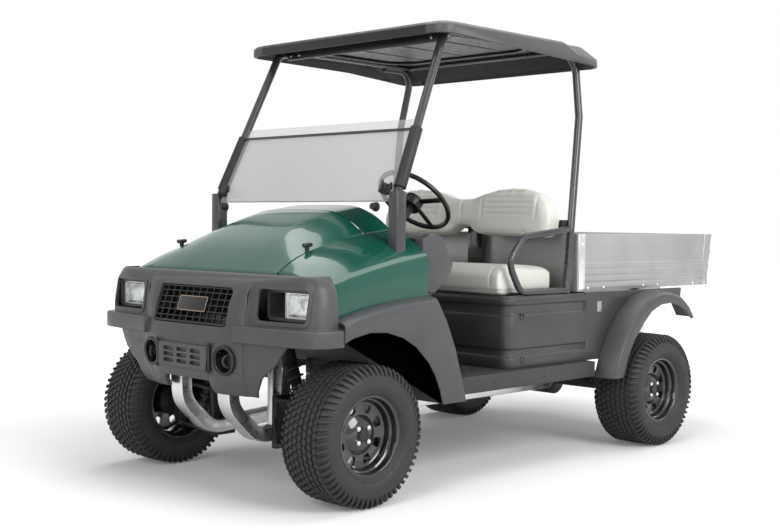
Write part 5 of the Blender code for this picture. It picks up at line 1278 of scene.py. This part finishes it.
def addBedFittings():
    low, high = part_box("bed")
    postAt = low.y + bedTrim["postBack"]
    start, cut = bedTrim["postFoot"]
    posts = [slab((side * bedTrim["postX"], postAt, (start + high.z) / 2),
                  (*bedTrim["postSize"], high.z - cut), 0.0025) for side in (-1, 1)]
    seated(joined(posts), "bedCornerPosts", "bed", "post", 40)
    rows = []
    for side in (-1, 1):
        spots = [onMap(side * bedTrim["rivetX"], aft, bedTrim["rivetHeight"]) for aft in bedTrim["rivetAfts"]]
        spots += [Vector((side * bedTrim["postRivetX"], postAt, height)) for height in bedTrim["postRivets"]]
        rows.append(fixedTo(rivet(bedTrim["rivetRadius"]), spots, (side, 0, 0)))
    seated(joined(rows), "bedRivets", "bed", "chrome", 40)
    low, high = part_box("tailgate")
    (x, fore, drop), size = bedTrim["latch"]
    latches = [slab((side * x, high.y - fore, high.z - drop), size, 0.002) for side in (-1, 1)]
    seated(joined(latches), "tailgateLatches", "tailgate", "chrome", 35)


tread = {
    "top": 0.4600,
    "size": (0.028, 0.010, 0.0016),
    "root": -0.001,
    "taper": 1.7,
    "pitch": 0.035,
    "floorStart": (-0.595, 0.700),
    "floorCount": (35, 8),
    "sill": (0.642, 0.985, 12),  # place across, start and count
}


def addFloorTread():
    # Small raised diamonds over the floor and the sills
    diamond = added("cube", size=1)
    edit(diamond)
    bpy.ops.mesh.subdivide(number_cuts=1)
    endEdit()
    long, wide, tall = tread["size"]
    for vertex in diamond.data.vertices:
        u, v, w = vertex.co
        taper = max(1 - abs(u) * tread["taper"], 0.1)
        vertex.co = (u * long, v * wide * taper, tall if w > 0 else tread["root"])
    left, front = tread["floorStart"]
    columns, rows = tread["floorCount"]
    x, start, count = tread["sill"]
    pitch = tread["pitch"]
    marks = [(left + column * pitch, front + row * pitch, row + column)
             for row in range(rows) for column in range(columns)]
    marks += [(side * x, start + row * pitch, row) for side in (-1, 1) for row in range(count)]
    placings = []
    for x, aft, index in marks:
        turn = Matrix.Rotation(math.radians(45 if index % 2 else -45), 4, "Z")
        placings.append(Matrix.Translation(onMap(x, aft, tread["top"])) @ turn)
    seated(repeated(diamond, placings), "floorDiamonds", "chassis", "floor", 35)


addLamps()
addGrille()
addNoseFittings()
addHoodLatches()
addShieldFittings()
addCanopyFittings()
addPodFittings()
addBedFittings()
addFloorTread()
print("fittings: lamps, grille, clips, bolts and rivets")


# Camera, matched to the photograph
view = {
    "spot": (4.0994, -4.5363, 1.1251),
    "azimuth": math.radians(44.449),
    "pitch": math.radians(-1.943),
    "roll": math.radians(0.642),
    "lens": 56.17,
}


def addCamera():
    a, e, r = view["azimuth"], view["pitch"], view["roll"]
    ahead = Vector((-math.sin(a) * math.cos(e), math.cos(a) * math.cos(e), math.sin(e)))
    level = Vector((math.cos(a), math.sin(a), 0))
    upright = level.cross(ahead)
    right = level * math.cos(r) + upright * math.sin(r)
    up = upright * math.cos(r) - level * math.sin(r)
    camera = bpy.data.objects.new("camera", bpy.data.cameras.new("camera"))
    bpy.context.scene.collection.objects.link(camera)
    turned = Matrix((right, up, -ahead)).transposed().to_4x4()
    camera.matrix_world = Matrix.Translation(view["spot"]) @ turned
    camera.data.lens = view["lens"]
    camera.data.clip_end = 200
    bpy.context.scene.camera = camera


# Studio
studio = {
    "floorSize": 60,
    "floorColour": (0.80, 0.80, 0.80),
    "skyLevel": 0.34,
    "shadowReach": (1.7, 5.0),
    "floorGlow": (0.10, 1.0),
    "aim": (0, 0, 0.7),
    "lamps": (  # name, place, size and power
        ("keyLamp", (5.4, -0.6, 3.4), 3.0, 260),
        ("topLamp", (-0.3, 0.4, 5.4), 5.0, 190),
        ("frontLamp", (1.6, -5.6, 3.2), 2.8, 110),
        ("rearLamp", (1.5, 5.2, 3.6), 3.0, 50),
    ),
}


def seenRays(tree):
    # 1 for rays that show the background: straight, mirrored or through glass
    path = tree.nodes.new("ShaderNodeLightPath")
    known = path.outputs["Is Camera Ray"]
    for kind in ("Is Glossy Ray", "Is Transmission Ray"):
        either = tree.nodes.new("ShaderNodeMath")
        either.operation = "MAXIMUM"
        tree.links.new(known, either.inputs[0])
        tree.links.new(path.outputs[kind], either.inputs[1])
        known = either.outputs[0]
    return known


def addStudio():
    world = bpy.data.worlds.new("studio")
    bpy.context.scene.world = world
    world.use_nodes = True
    tree = world.node_tree
    strength = tree.nodes.new("ShaderNodeMapRange")
    tree.links.new(seenRays(tree), strength.inputs[0])
    strength.inputs[3].default_value = studio["skyLevel"]
    tree.nodes["Background"].inputs[0].default_value = (1, 1, 1, 1)
    tree.links.new(strength.outputs[0], tree.nodes["Background"].inputs[1])
    bpy.ops.mesh.primitive_plane_add(size=studio["floorSize"])
    floor = bpy.context.object
    floor.name = "studioFloor"
    paint = bpy.data.materials.new("studioFloor")
    paint.use_nodes = True
    tree = paint.node_tree
    shader = tree.nodes["Principled BSDF"]
    shader.inputs["Base Color"].default_value = (*studio["floorColour"], 1)
    shader.inputs["Roughness"].default_value = 0.9
    shader.inputs["Specular IOR Level"].default_value = 0.1
    where = tree.nodes.new("ShaderNodeTexCoord")
    reach = tree.nodes.new("ShaderNodeVectorMath")
    reach.operation = "LENGTH"
    tree.links.new(where.outputs["Object"], reach.inputs[0])
    glow = tree.nodes.new("ShaderNodeMapRange")
    tree.links.new(reach.outputs["Value"], glow.inputs[0])
    glow.inputs[1].default_value, glow.inputs[2].default_value = studio["shadowReach"]
    glow.inputs[3].default_value, glow.inputs[4].default_value = studio["floorGlow"]
    tree.links.new(glow.outputs[0], shader.inputs["Emission Color"])
    tree.links.new(seenRays(tree), shader.inputs["Emission Strength"])
    floor.data.materials.append(paint)
    for name, spot, size, power in studio["lamps"]:
        lamp = bpy.data.lights.new(name, "AREA")
        lamp.shape = "SQUARE"
        lamp.size = size
        lamp.energy = power
        holder = bpy.data.objects.new(name, lamp)
        bpy.context.scene.collection.objects.link(holder)
        holder.location = spot
        holder.rotation_euler = (Vector(studio["aim"]) - Vector(spot)).to_track_quat("-Z", "Y").to_euler()
    bpy.context.scene.view_settings.view_transform = "Standard"


addCamera()
addStudio()
print("studio: camera, floor and", len(studio["lamps"]), "lamps placed")
